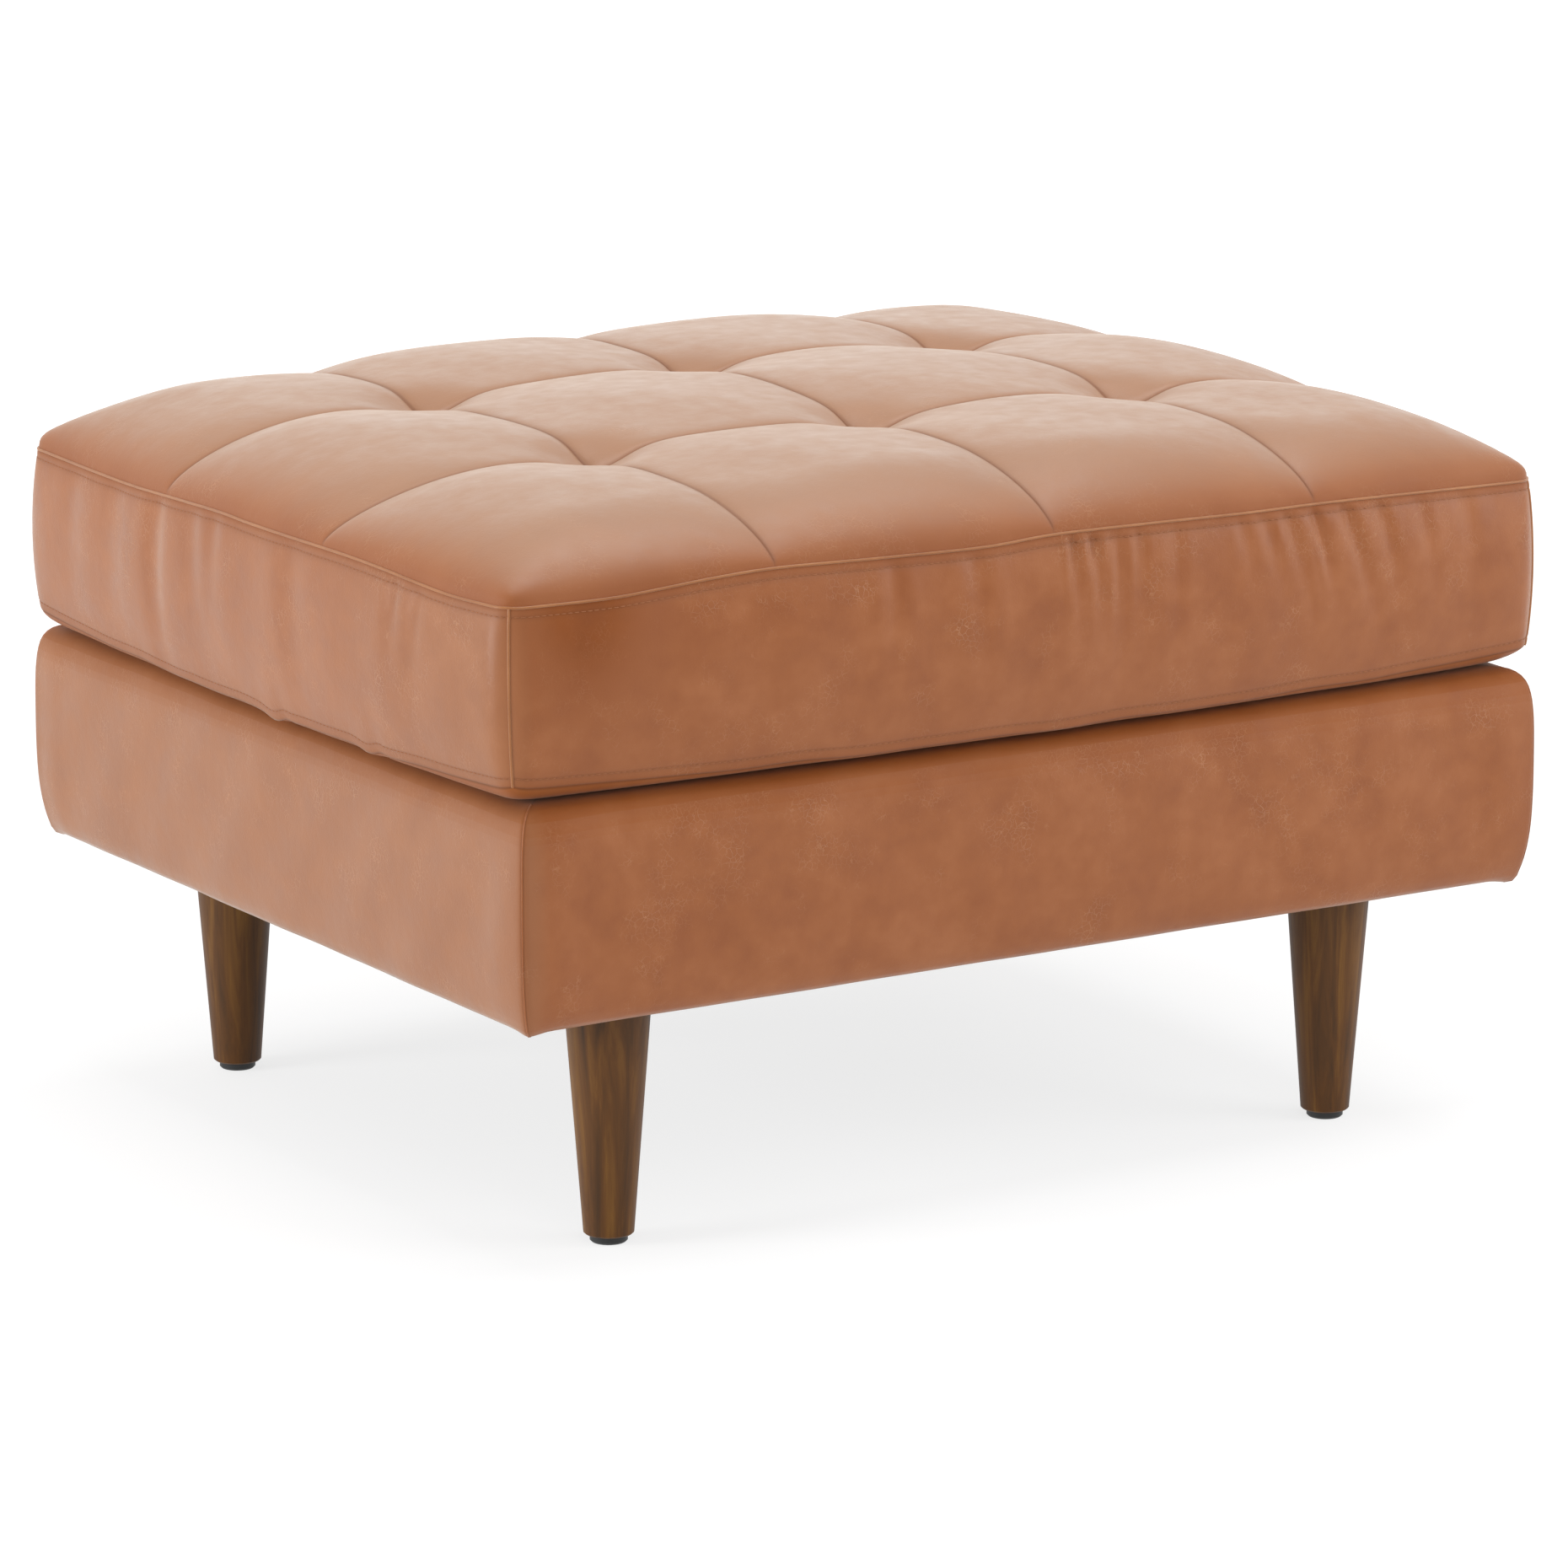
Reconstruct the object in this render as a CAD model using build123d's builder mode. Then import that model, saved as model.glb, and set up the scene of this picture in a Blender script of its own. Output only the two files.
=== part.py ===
from build123d import *

import os
from math import radians, tan

# Upholstered ottoman: a loose, blind-tufted leather box cushion on a padded base with four round legs.
# Origin on the floor under the middle, +X along the length, the front faces -Y, +Z up, millimetres.

# Fits
overrun = 5.0               # how far a cutting shape runs past what it cuts
body_gap = 0.3              # the loose cushion stays this far above the deck
fit_gap = 0.1               # round fixings in their holes

# Glides and legs
glide_radius = 11.9
glide_height = 5.3
glide_edge = 1.2            # chamfer round the sole
glide_stem_radius = 2.4
glide_stem_length = 14.0
leg_foot_radius = 15.8
leg_top_radius = 28.0
leg_foot_edge = 1.0         # eased edge of the wood above the glide
leg_inset_x = 99.3          # leg axis to the base's end
leg_inset_y = 71.6          # leg axis to the base's front or back
bolt_radius = 4.0
bolt_in_leg = 35.0
bolt_above_leg = 28.0
bolt_edge = 0.8
nut_flange_radius = 11.0
nut_flange_thickness = 1.6
nut_barrel_radius = 5.2
nut_barrel_length = 10.0

# Leather-covered base
base_length = 744.0         # along X, at the lower edge
base_depth = 627.0          # along Y, at the lower edge
base_underside = 162.3      # height of the leather's lower face above the floor
base_height = 139.7
base_bulge = 6.5            # how far the padded sides swell past the lower edge
base_top_rounding = 24.0
base_bottom_rounding = 7.0
leather = 1.8
leather_under_width = 34.0  # strip wrapped under the frame
leather_deck_width = 84.0   # strip wrapped in over the deck, from the swollen side
side_pad = 8.2              # padding on the rails' outer faces
deck_cloth_thickness = 1.2
dust_cover_thickness = 0.8
dust_cover_inset = 18.0

# Rails, leg blocks and screws
rail_thickness = 22.0
rim_pad = 22.1              # padding on top of the rails
stretcher_drop = 44.0       # stretcher's top below the rails' top, clear of the sagging springs
block_length = 112.0        # along X
block_depth = 80.0          # along Y
block_height = 30.0
screw_length = 48.0
screw_radius = 2.1
screw_head_radius = 4.2
screw_head_angle = 82.0
screw_rise = 9.0            # lowest screws above the rail's lower edge
screw_stagger = 12.0        # the screws through the end rails pass above the others
screw_tier_shares = (0.35, 0.88)  # of the rail's height, for the screws into the end rails
screw_side_step = 62.0      # between the two screws that hold a block from one side

# Springs
spring_count = 5
spring_margin = 100.0       # outer springs' middle to the end rails
spring_loops = 20
spring_width = 50.0
wire_radius = 1.8
clip_sheet = 1.2
clip_length = 20.0
clip_lip = 3.0              # how far the clip reaches past the wire
clip_setback = 8.0          # end wire to the rail's inner face
deck_recess = 8.0           # rim of padding on the rail's top, from its outer face
deck_pad_edge = 5.0         # chamfer along the deck pad's upper edges

# Cushion
cushion_end_reach = 13.0    # cushion's end past the base's lower edge
cushion_corner_setback = 7.0  # cushion's corner inside the base's front
cushion_bow = 13.0          # front and back bow out this far between the corners
boxing_bulge = 5.5          # how far the boxing swells between its two seams
underside_inset = 10.0      # flat underside inside the lower seam
underside_rise = 12.5       # lower seam above the flat underside
boxing_height = 110.2
topper_pinch = 4.0          # plan distance between the top's outer and inner face at the seam
tuft_columns = 3
tuft_rows = 2
tuft_end_run = 185.0        # outer tufts to the cushion's end
tuft_front_run = 200.5      # tufts to the line between the front corners
tuft_height = 34.5          # tufts above the upper seam
channel_rise = 9.5          # sewn channel between two tufts, above them
crown_rise = 9.5            # pillow above its channels
shoulder_run = 40.0         # where the steep roll along the seam ends, from the seam
shoulder_height = 29.0
shoulder_crown = 5.0
roll_run = 12.0             # middle of the steep roll, from the seam
roll_height = 14.5
twine_radius = 1.2
washer_radius = 12.0
washer_thickness = 3.0

# Rise and pillow height at the stations of an end column, from the end to its first channel
end_run_shares = (0, 0.065, 0.19, 0.5, 1)
end_rise_shares = (0.07, 0.42, 0.74, 1, 1)
end_crown_shares = (0.3, 0.6, 0.85, 1, 0)
# The same between two channels
pillow_run_shares = (0, 0.2, 0.5, 0.8, 1)
pillow_crown_shares = (0, 0.66, 1, 0.66, 0)

# Derived places
base_top = base_underside + base_height
half_length = base_length / 2
half_depth = base_depth / 2
rail_bottom = base_underside + leather
rail_top = base_top - leather - rim_pad
rail_height = rail_top - rail_bottom
stretcher_height = rail_height - stretcher_drop
frame_x = half_length - leather - side_pad
frame_y = half_depth - leather - side_pad
inner_x = frame_x - rail_thickness
inner_y = frame_y - rail_thickness
recess_x = frame_x - deck_recess
recess_y = frame_y - deck_recess
leg_x = half_length - leg_inset_x
leg_y = half_depth - leg_inset_y
swollen_x = half_length + base_bulge
swollen_y = half_depth + base_bulge
deck_x = swollen_x - leather_deck_width
deck_y = swollen_y - leather_deck_width
deck_top = base_top - leather
wire_height = rail_top + clip_sheet + fit_gap + wire_radius
clip_top = wire_height + wire_radius + fit_gap + clip_sheet
spring_spacing = 2 * (inner_x - spring_margin) / (spring_count - 1)
cushion_x = half_length + cushion_end_reach
cushion_y = half_depth - cushion_corner_setback
tuft_spacing_x = 2 * (cushion_x - tuft_end_run) / (tuft_columns - 1)
tuft_spacing_y = 2 * (cushion_y - tuft_front_run) / (tuft_rows - 1)
cushion_bottom = base_top + body_gap
lower_seam = cushion_bottom + underside_rise
upper_seam = lower_seam + boxing_height
crown_height = tuft_height + channel_rise + crown_rise
inner_rise_share = 1 - leather / crown_height
screw_head_height = (screw_head_radius - screw_radius) / tan(radians(screw_head_angle / 2))

corners = {
    "front_left": (-1, -1),
    "front_right": (1, -1),
    "back_left": (-1, 1),
    "back_right": (1, 1),
}
tuft_places = GridLocations(tuft_spacing_x, tuft_spacing_y, tuft_columns, tuft_rows)

os.makedirs("parts", exist_ok=True)


def write(piece, name):
    """Labels one finished piece and writes it to its own file."""
    piece.part.label = name
    export_step(piece.part, f"parts/{name}.step")


def leg_place(name):
    """The floor point under the leg of a named corner."""
    side_x, side_y = corners[name]
    return (side_x * leg_x, side_y * leg_y)


def mitre_outline(side, corner_x, corner_y, reach):
    """Plan of one side's share of a covering: a trapezium between the 45 degree mitres of the corners."""
    out_x = corner_x + reach
    out_y = corner_y + reach
    in_x = corner_x - leather_deck_width
    in_y = corner_y - leather_deck_width
    return {
        "front": ((-out_x, -out_y), (out_x, -out_y), (in_x, -in_y), (-in_x, -in_y)),
        "back": ((out_x, out_y), (-out_x, out_y), (-in_x, in_y), (in_x, in_y)),
        "left": ((-out_x, out_y), (-out_x, -out_y), (-in_x, -in_y), (-in_x, in_y)),
        "right": ((out_x, -out_y), (out_x, out_y), (in_x, in_y), (in_x, -in_y)),
    }[side]


def swollen_profile(plane, half_width, inset):
    """Section of the padded base: flat top and underside, sides swollen in one long arc."""
    low = base_underside + inset
    high = base_top - inset
    edge = half_width - inset
    middle = (low + high) / 2
    with BuildSketch(plane) as profile:
        with BuildLine():
            Line((-edge, low), (edge, low))
            ThreePointArc((edge, low), (edge + base_bulge, middle), (edge, high))
            Line((edge, high), (-edge, high))
            ThreePointArc((-edge, high), (-edge - base_bulge, middle), (-edge, low))
        make_face()
        levels = profile.vertices().group_by(Axis.Y)
        fillet(levels[-1], base_top_rounding - inset)
        fillet(levels[0], base_bottom_rounding - inset)
    return profile.sketch


def side_form(side, inset):
    """One side's share of the padded base, between its two mitres, drawn in by an inset."""
    if side in ("front", "back"):
        profile = swollen_profile(Plane.YZ, half_depth, inset)
        reach = swollen_x + overrun
    else:
        profile = swollen_profile(Plane.XZ, half_length, inset)
        reach = swollen_y + overrun
    with BuildPart() as form:
        extrude(profile, amount=reach, both=True)
        with BuildSketch():
            Polygon(*mitre_outline(side, swollen_x, swollen_y, overrun), align=None)
        extrude(amount=base_top + overrun, both=True, mode=Mode.INTERSECT)
    return form.part


def front_reach(x):
    """Distance from the middle to the cushion's front seam at a station along X."""
    return cushion_y + cushion_bow * (1 - (x / cushion_x) ** 2)


def top_section(x, rise_share, crown_share, pinch, skin_share):
    """Cross-section of the tufted top at a station: two rolled edges and one arc over each pillow."""
    plane = Plane((x, 0, upper_seam), x_dir=(0, 1, 0), z_dir=(1, 0, 0))
    edge = front_reach(x) - pinch
    shoulder = edge - shoulder_run
    lift = rise_share * skin_share
    rows = [(row - (tuft_rows - 1) / 2) * tuft_spacing_y for row in range(tuft_rows)]
    row_z = lift * (tuft_height + crown_share * channel_rise)
    crown_z = lift * (tuft_height + channel_rise + crown_share * crown_rise)
    shoulder_z = lift * (shoulder_height + crown_share * shoulder_crown)
    roll_z = lift * roll_height
    marks = [(-shoulder, shoulder_z)] + [(row, row_z) for row in rows] + [(shoulder, shoulder_z)]
    with BuildSketch(plane) as section:
        with BuildLine():
            Line((edge, 0), (-edge, 0))
            ThreePointArc((-edge, 0), (roll_run - edge, roll_z), marks[0])
            for start, end in zip(marks, marks[1:]):
                ThreePointArc(start, ((start[0] + end[0]) / 2, crown_z), end)
            ThreePointArc(marks[-1], (edge - roll_run, roll_z), (edge, 0))
        make_face()
    return section.sketch


def top_form(pinch, skin_share):
    """The tufted top above the upper seam, one loft for each column of pillows."""
    reach = cushion_x - pinch
    channels = [(column - (tuft_columns - 1) / 2) * tuft_spacing_x for column in range(tuft_columns)]
    with BuildPart() as form:
        for side in (-1, 1):
            run = reach - abs(channels[0])
            sections = []
            for run_share, rise_share, crown_share in zip(end_run_shares, end_rise_shares, end_crown_shares):
                station = side * (reach - run_share * run)
                sections.append(top_section(station, rise_share, crown_share, pinch, skin_share))
            loft(sections)
        for start, end in zip(channels, channels[1:]):
            sections = []
            for run_share, crown_share in zip(pillow_run_shares, pillow_crown_shares):
                station = start + run_share * (end - start)
                sections.append(top_section(station, 1, crown_share, pinch, skin_share))
            loft(sections)
    return form.part


def cushion_outline(height, inset):
    """Plan of the cushion: straight ends, front and back bowed out between the corners."""
    end = cushion_x - inset
    corner = cushion_y - inset
    middle = corner + cushion_bow
    with BuildSketch(Plane.XY.offset(height)) as outline:
        with BuildLine():
            Line((-end, corner), (-end, -corner))
            ThreePointArc((-end, -corner), (0, -middle), (end, -corner))
            Line((end, -corner), (end, corner))
            ThreePointArc((end, corner), (0, middle), (-end, corner))
        make_face()
    return outline.sketch


def boxing_form(inset):
    """The space inside the boxing's outer or inner face, swollen between the two seams."""
    middle = (lower_seam + upper_seam) / 2
    levels = ((lower_seam, inset), (middle, inset - boxing_bulge), (upper_seam, inset))
    with BuildPart() as form:
        loft([cushion_outline(height, step) for height, step in levels])
    return form.part


def underside_form(inset):
    """The dished space under the lower seam, from the flat underside up to the seam."""
    with BuildPart() as form:
        loft([
            cushion_outline(cushion_bottom + inset, underside_inset + inset),
            cushion_outline(lower_seam, inset),
        ])
    return form.part


def rail_screws(name):
    """Screw places of one corner: each plane lies just under a rail's outer face and looks out of it."""
    side_x, side_y = corners[name]
    face_x = side_x * (frame_x - fit_gap)
    face_y = side_y * (frame_y - fit_gap)
    low = rail_bottom + screw_rise
    block_mid_x = inner_x - block_length / 2
    block_mid_y = inner_y - block_depth / 2
    places = {"long_to_block": [], "long_to_end": [], "end_to_block": []}
    for step in (-1 / 2, 1 / 2):
        x = side_x * (block_mid_x + step * screw_side_step)
        y = side_y * (block_mid_y + step * screw_side_step / 2)
        places["long_to_block"].append(Plane((x, face_y, low), (1, 0, 0), (0, side_y, 0)))
        places["end_to_block"].append(Plane((face_x, y, low + screw_stagger), (0, 1, 0), (side_x, 0, 0)))
    for share in screw_tier_shares:
        x = side_x * (frame_x - rail_thickness / 2)
        height = rail_bottom + share * rail_height
        places["long_to_end"].append(Plane((x, face_y, height), (1, 0, 0), (0, side_y, 0)))
    return places


def screw_hole():
    """Countersunk hole for a frame screw, at the current locations."""
    CounterSinkHole(
        radius=screw_radius + fit_gap,
        counter_sink_radius=screw_head_radius + fit_gap,
        depth=screw_length + fit_gap,
        counter_sink_angle=screw_head_angle,
    )


# Wooden frame
for name, side_y in (("rail_front", -1), ("rail_back", 1)):
    with BuildPart() as rail:
        with BuildSketch(Plane.XY.offset(rail_bottom)):
            with Locations((0, side_y * (frame_y - rail_thickness / 2))):
                Rectangle(2 * frame_x, rail_thickness)
        extrude(amount=rail_height)
        for corner, (_, corner_y) in corners.items():
            if corner_y == side_y:
                places = rail_screws(corner)
                with Locations(*places["long_to_block"], *places["long_to_end"]):
                    screw_hole()
    write(rail, name)

for name, side_x in (("rail_left", -1), ("rail_right", 1)):
    with BuildPart() as rail:
        with BuildSketch(Plane.XY.offset(rail_bottom)):
            with Locations((side_x * (frame_x - rail_thickness / 2), 0)):
                Rectangle(rail_thickness, 2 * inner_y)
        extrude(amount=rail_height)
        for corner, (corner_x, _) in corners.items():
            if corner_x == side_x:
                places = rail_screws(corner)
                with Locations(*places["end_to_block"], *places["long_to_end"]):
                    screw_hole()
    write(rail, name)

with BuildPart() as stretcher:
    with BuildSketch(Plane.XY.offset(rail_bottom)):
        Rectangle(rail_thickness, 2 * inner_y)
    extrude(amount=stretcher_height)
write(stretcher, "centre_stretcher")

for corner, (side_x, side_y) in corners.items():
    with BuildPart() as block:
        with BuildSketch(Plane.XY.offset(rail_bottom)):
            with Locations((side_x * (inner_x - block_length / 2), side_y * (inner_y - block_depth / 2))):
                Rectangle(block_length, block_depth)
        extrude(amount=block_height)
        places = rail_screws(corner)
        with Locations(*places["long_to_block"], *places["end_to_block"]):
            screw_hole()
        with Locations((*leg_place(corner), rail_bottom + block_height)):
            CounterBoreHole(bolt_radius + fit_gap, nut_barrel_radius + fit_gap, nut_barrel_length + fit_gap)
    write(block, f"leg_block_{corner}")

with BuildPart() as screw:
    with BuildSketch(Plane.XZ):
        with BuildLine():
            Polyline(
                (0, 0),
                (screw_head_radius, 0),
                (screw_radius, -screw_head_height),
                (screw_radius, screw_radius - screw_length),
                (0, -screw_length),
                close=True,
            )
        make_face()
    revolve(axis=Axis.Z)

with BuildPart() as frame_screws:
    for corner in corners:
        for places in rail_screws(corner).values():
            with Locations(*places):
                add(screw.part)
write(frame_screws, "frame_screws")

# Springs and the clips that hold their end wires
spring_reach = inner_y + clip_setback
loop_pitch = 2 * spring_reach / spring_loops
half_run = (spring_width - loop_pitch) / 2 - wire_radius

for number in range(spring_count):
    x = (number - (spring_count - 1) / 2) * spring_spacing
    with BuildPart() as spring:
        with BuildLine(Plane.XY.offset(wire_height)) as route:
            for loop in range(spring_loops):
                y = loop * loop_pitch - spring_reach
                side = 1 - 2 * (loop % 2)
                bend = x + side * half_run
                Line((x - side * half_run, y), (bend, y))
                ThreePointArc(
                    (bend, y),
                    (bend + side * loop_pitch / 2, y + loop_pitch / 2),
                    (bend, y + loop_pitch),
                )
            Line((bend, y + loop_pitch), (x - side * half_run, y + loop_pitch))
        with BuildSketch(Plane(origin=route.line @ 0, z_dir=route.line % 0)):
            Circle(wire_radius)
        sweep()
    write(spring, f"spring_{number + 1}")

with BuildPart() as clips:
    closed = wire_radius + fit_gap + clip_sheet
    slot = 2 * (wire_radius + fit_gap)
    reach = wire_radius + clip_lip
    for side_y in (-1, 1):
        for number in range(spring_count):
            x = (number - (spring_count - 1) / 2) * spring_spacing
            place = Plane((x, side_y * spring_reach, wire_height), (0, side_y, 0), (side_y, 0, 0))
            with BuildSketch(place):
                with Locations(((reach - closed) / 2, 0)):
                    Rectangle(reach + closed, slot + 2 * clip_sheet)
                with Locations(((reach + overrun - slot / 2) / 2, 0)):
                    Rectangle(reach + overrun + slot / 2, slot, mode=Mode.SUBTRACT)
            extrude(amount=clip_length / 2, both=True)
write(clips, "spring_clips")

# Deck over the springs
with BuildPart() as deck_pad:
    with BuildSketch(Plane.XY.offset(clip_top)):
        Rectangle(2 * recess_x, 2 * recess_y)
    extrude(amount=deck_top - clip_top)
    chamfer(deck_pad.faces().sort_by(Axis.Z)[-1].edges(), deck_pad_edge)
write(deck_pad, "deck_pad")

with BuildPart() as deck_cloth:
    with BuildSketch(Plane.XY.offset(deck_top)):
        Rectangle(2 * deck_x, 2 * deck_y)
    extrude(amount=deck_cloth_thickness)
write(deck_cloth, "deck_cloth")

# Padding and leather on the four sides of the base
for side in ("front", "back", "left", "right"):
    inner_form = side_form(side, leather)

    with BuildPart() as cover:
        add(side_form(side, 0))
        add(inner_form, mode=Mode.SUBTRACT)
        with BuildSketch(Plane.XY.offset(base_underside - overrun)):
            Rectangle(base_length - 2 * leather_under_width, base_depth - 2 * leather_under_width)
        extrude(amount=overrun + rail_height, mode=Mode.SUBTRACT)
    write(cover, f"base_cover_{side}")

    with BuildPart() as pad:
        add(inner_form)
        with BuildSketch(Plane.XY.offset(base_underside - overrun)):
            Rectangle(2 * frame_x, 2 * frame_y)
        extrude(amount=rail_top - base_underside + overrun, mode=Mode.SUBTRACT)
        with BuildSketch(Plane.XY.offset(rail_top)):
            Rectangle(2 * recess_x, 2 * recess_y)
        extrude(amount=base_height, mode=Mode.SUBTRACT)
    write(pad, f"base_pad_{side}")

with BuildPart() as dust_cover:
    with BuildSketch(Plane.XY.offset(base_underside)):
        Rectangle(base_length - 2 * dust_cover_inset, base_depth - 2 * dust_cover_inset)
        with Locations(*[leg_place(corner) for corner in corners]):
            Circle(leg_top_radius + fit_gap, mode=Mode.SUBTRACT)
    extrude(amount=-dust_cover_thickness)
write(dust_cover, "dust_cover")

# Legs, their bolts and T-nuts, and the glides
for corner in corners:
    with BuildPart() as leg:
        with BuildSketch(Plane.XZ):
            with BuildLine():
                Polyline(
                    (0, glide_height),
                    (leg_foot_radius, glide_height),
                    (leg_top_radius, rail_bottom),
                    (0, rail_bottom),
                    close=True,
                )
            make_face()
        revolve(axis=Axis.Z)
        chamfer(leg.edges().sort_by(Axis.Z)[0], leg_foot_edge)
        with Locations((0, 0, rail_bottom)):
            Hole(bolt_radius + fit_gap, bolt_in_leg + fit_gap)
        with BuildSketch(Plane.XY.offset(glide_height)):
            Circle(glide_stem_radius + fit_gap)
        extrude(amount=glide_stem_length + fit_gap, mode=Mode.SUBTRACT)
    with BuildPart() as placed_leg:
        with Locations(leg_place(corner)):
            add(leg.part)
    write(placed_leg, f"leg_{corner}")

    with BuildPart() as glide:
        with BuildSketch(Plane.XY):
            with Locations(leg_place(corner)):
                Circle(glide_radius)
        extrude(amount=glide_height)
        chamfer(glide.edges().sort_by(Axis.Z)[0], glide_edge)
        with BuildSketch(Plane.XY.offset(glide_height)):
            with Locations(leg_place(corner)):
                Circle(glide_stem_radius)
        extrude(amount=glide_stem_length)
    write(glide, f"glide_{corner}")

with BuildPart() as bolts:
    with BuildSketch(Plane.XY.offset(rail_bottom - bolt_in_leg)):
        with Locations(*[leg_place(corner) for corner in corners]):
            Circle(bolt_radius)
    extrude(amount=bolt_in_leg + bolt_above_leg)
    ends = bolts.edges().filter_by(GeomType.CIRCLE).group_by(Axis.Z)
    chamfer(ends[0] + ends[-1], bolt_edge)
write(bolts, "hanger_bolts")

with BuildPart() as nuts:
    nut_seat = rail_bottom + block_height
    with BuildSketch(Plane.XY.offset(nut_seat)):
        with Locations(*[leg_place(corner) for corner in corners]):
            Circle(nut_flange_radius)
            Circle(bolt_radius + fit_gap, mode=Mode.SUBTRACT)
    extrude(amount=nut_flange_thickness)
    with BuildSketch(Plane.XY.offset(nut_seat)):
        with Locations(*[leg_place(corner) for corner in corners]):
            Circle(nut_barrel_radius)
            Circle(bolt_radius + fit_gap, mode=Mode.SUBTRACT)
    extrude(amount=-nut_barrel_length)
write(nuts, "t_nuts")

# Cushion
top_outer = top_form(0, 1)
top_inner = top_form(topper_pinch, inner_rise_share)

with BuildPart() as top_panel:
    add(top_outer)
    add(top_inner, mode=Mode.SUBTRACT)
write(top_panel, "cushion_top_panel")

with BuildPart() as topper:
    add(top_inner)
    with BuildSketch(Plane.XY.offset(upper_seam)):
        with tuft_places:
            Circle(twine_radius + fit_gap)
    extrude(amount=crown_height, mode=Mode.SUBTRACT)
write(topper, "cushion_topper")

boxing_reach = cushion_bow + boxing_bulge + overrun
boxing_outer = boxing_form(0)
boxing_inner = boxing_form(leather)

for side in ("front", "back", "left", "right"):
    with BuildPart() as boxing:
        add(boxing_outer)
        add(boxing_inner, mode=Mode.SUBTRACT)
        with BuildSketch():
            Polygon(*mitre_outline(side, cushion_x, cushion_y, boxing_reach), align=None)
        extrude(amount=upper_seam + overrun, both=True, mode=Mode.INTERSECT)
    write(boxing, f"cushion_boxing_{side}")

with BuildPart() as core:
    add(boxing_inner)
    with BuildSketch(Plane.XY.offset(lower_seam)):
        with tuft_places:
            Circle(twine_radius + fit_gap)
    extrude(amount=boxing_height, mode=Mode.SUBTRACT)
write(core, "cushion_foam_core")

with BuildPart() as bottom_panel:
    add(underside_form(0))
    add(underside_form(leather), mode=Mode.SUBTRACT)
write(bottom_panel, "cushion_bottom_panel")

with BuildPart() as wadding:
    add(underside_form(leather))
    with BuildSketch(Plane.XY.offset(lower_seam)):
        with tuft_places:
            Circle(washer_radius + fit_gap)
    extrude(amount=-washer_thickness, mode=Mode.SUBTRACT)
write(wadding, "cushion_wadding")

with BuildPart() as washers:
    with BuildSketch(Plane.XY.offset(lower_seam)):
        with tuft_places:
            Circle(washer_radius)
    extrude(amount=-washer_thickness)
write(washers, "tuft_washers")

with BuildPart() as twines:
    with BuildSketch(Plane.XY.offset(lower_seam)):
        with tuft_places:
            Circle(twine_radius)
    extrude(amount=boxing_height + inner_rise_share * tuft_height)
write(twines, "tuft_twines")
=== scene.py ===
# %% [markdown]
# This lesson dresses a leather ottoman that also serves as a coffee table. The real object is a
# loose, tufted box cushion on a padded wooden frame with four turned walnut legs. The CAD model
# gives every part its place, so nothing here is fitted by eye: the script loads it as a fixed
# frame, puts soft, sewn leather over the plain solids, gives each part its finish, and sets up a
# small photo studio.

# %% Load the CAD frame
import math

import bpy
import numpy as np
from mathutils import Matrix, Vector


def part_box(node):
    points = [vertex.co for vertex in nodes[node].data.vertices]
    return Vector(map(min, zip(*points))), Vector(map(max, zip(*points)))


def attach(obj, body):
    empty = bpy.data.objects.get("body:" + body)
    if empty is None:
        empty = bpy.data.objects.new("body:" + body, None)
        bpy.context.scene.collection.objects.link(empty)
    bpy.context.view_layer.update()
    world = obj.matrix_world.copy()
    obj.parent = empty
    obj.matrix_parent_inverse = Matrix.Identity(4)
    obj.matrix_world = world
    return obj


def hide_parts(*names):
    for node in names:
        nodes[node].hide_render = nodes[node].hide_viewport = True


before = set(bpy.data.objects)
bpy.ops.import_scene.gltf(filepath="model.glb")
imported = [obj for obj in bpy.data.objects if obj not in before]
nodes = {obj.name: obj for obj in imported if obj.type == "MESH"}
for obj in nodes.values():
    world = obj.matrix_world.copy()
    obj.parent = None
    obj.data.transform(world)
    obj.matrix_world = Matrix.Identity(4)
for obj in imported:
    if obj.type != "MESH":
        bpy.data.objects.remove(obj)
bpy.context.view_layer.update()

# %% [markdown]
# Upholstery is measured in millimetres and Blender works in metres, so one number turns the first
# into the second. Colours are written as hex values, as they are picked from a swatch, and one
# function turns them to the linear values that a renderer adds and multiplies.

# %% Units and colour
MM = 0.001


def linear(swatch):
    """An sRGB hex colour as linear red, green, blue and alpha."""
    channels = [int(swatch[k:k + 2], 16) / 255 for k in (1, 3, 5)]
    return [c / 12.92 if c <= 0.04045 else ((c + 0.055) / 1.055) ** 2.4 for c in channels] + [1.0]


print("walnut's middle tone in linear colour", [round(c, 3) for c in linear("#5A360D")])

# %% [markdown]
# Both shader trees and geometry trees are lists of nodes with settings and links. One small
# function adds any node: a value goes on its socket, another node or one of its sockets is linked,
# and a colour ramp gets its stops. The part of it that fills the sockets stands alone, because a
# material's last shader is there before the nodes that feed it.

# %% A helper that adds a node
def connect(tree, node, inputs):
    """Put values on a node's sockets, or links from a socket or another node's first output."""
    for socket, value in dict(inputs).items():
        if isinstance(value, bpy.types.Node):
            value = next(output for output in value.outputs if output.enabled)
        if isinstance(value, bpy.types.NodeSocket):
            tree.links.new(value, node.inputs[socket])
        else:
            node.inputs[socket].default_value = value


def add(tree, kind, inputs=(), stops=(), **settings):
    """Add one node to a tree, with its settings, its socket values or links, and a ramp's stops."""
    made = tree.nodes.new(kind)
    for name, value in settings.items():
        setattr(made, name, value)
    connect(tree, made, inputs)
    for index, (place, swatch) in enumerate(stops):
        ramp = made.color_ramp
        stop = ramp.elements[index] if index < 2 else ramp.elements.new(place)
        stop.position = place
        stop.color = linear(swatch)
    return made


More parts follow.
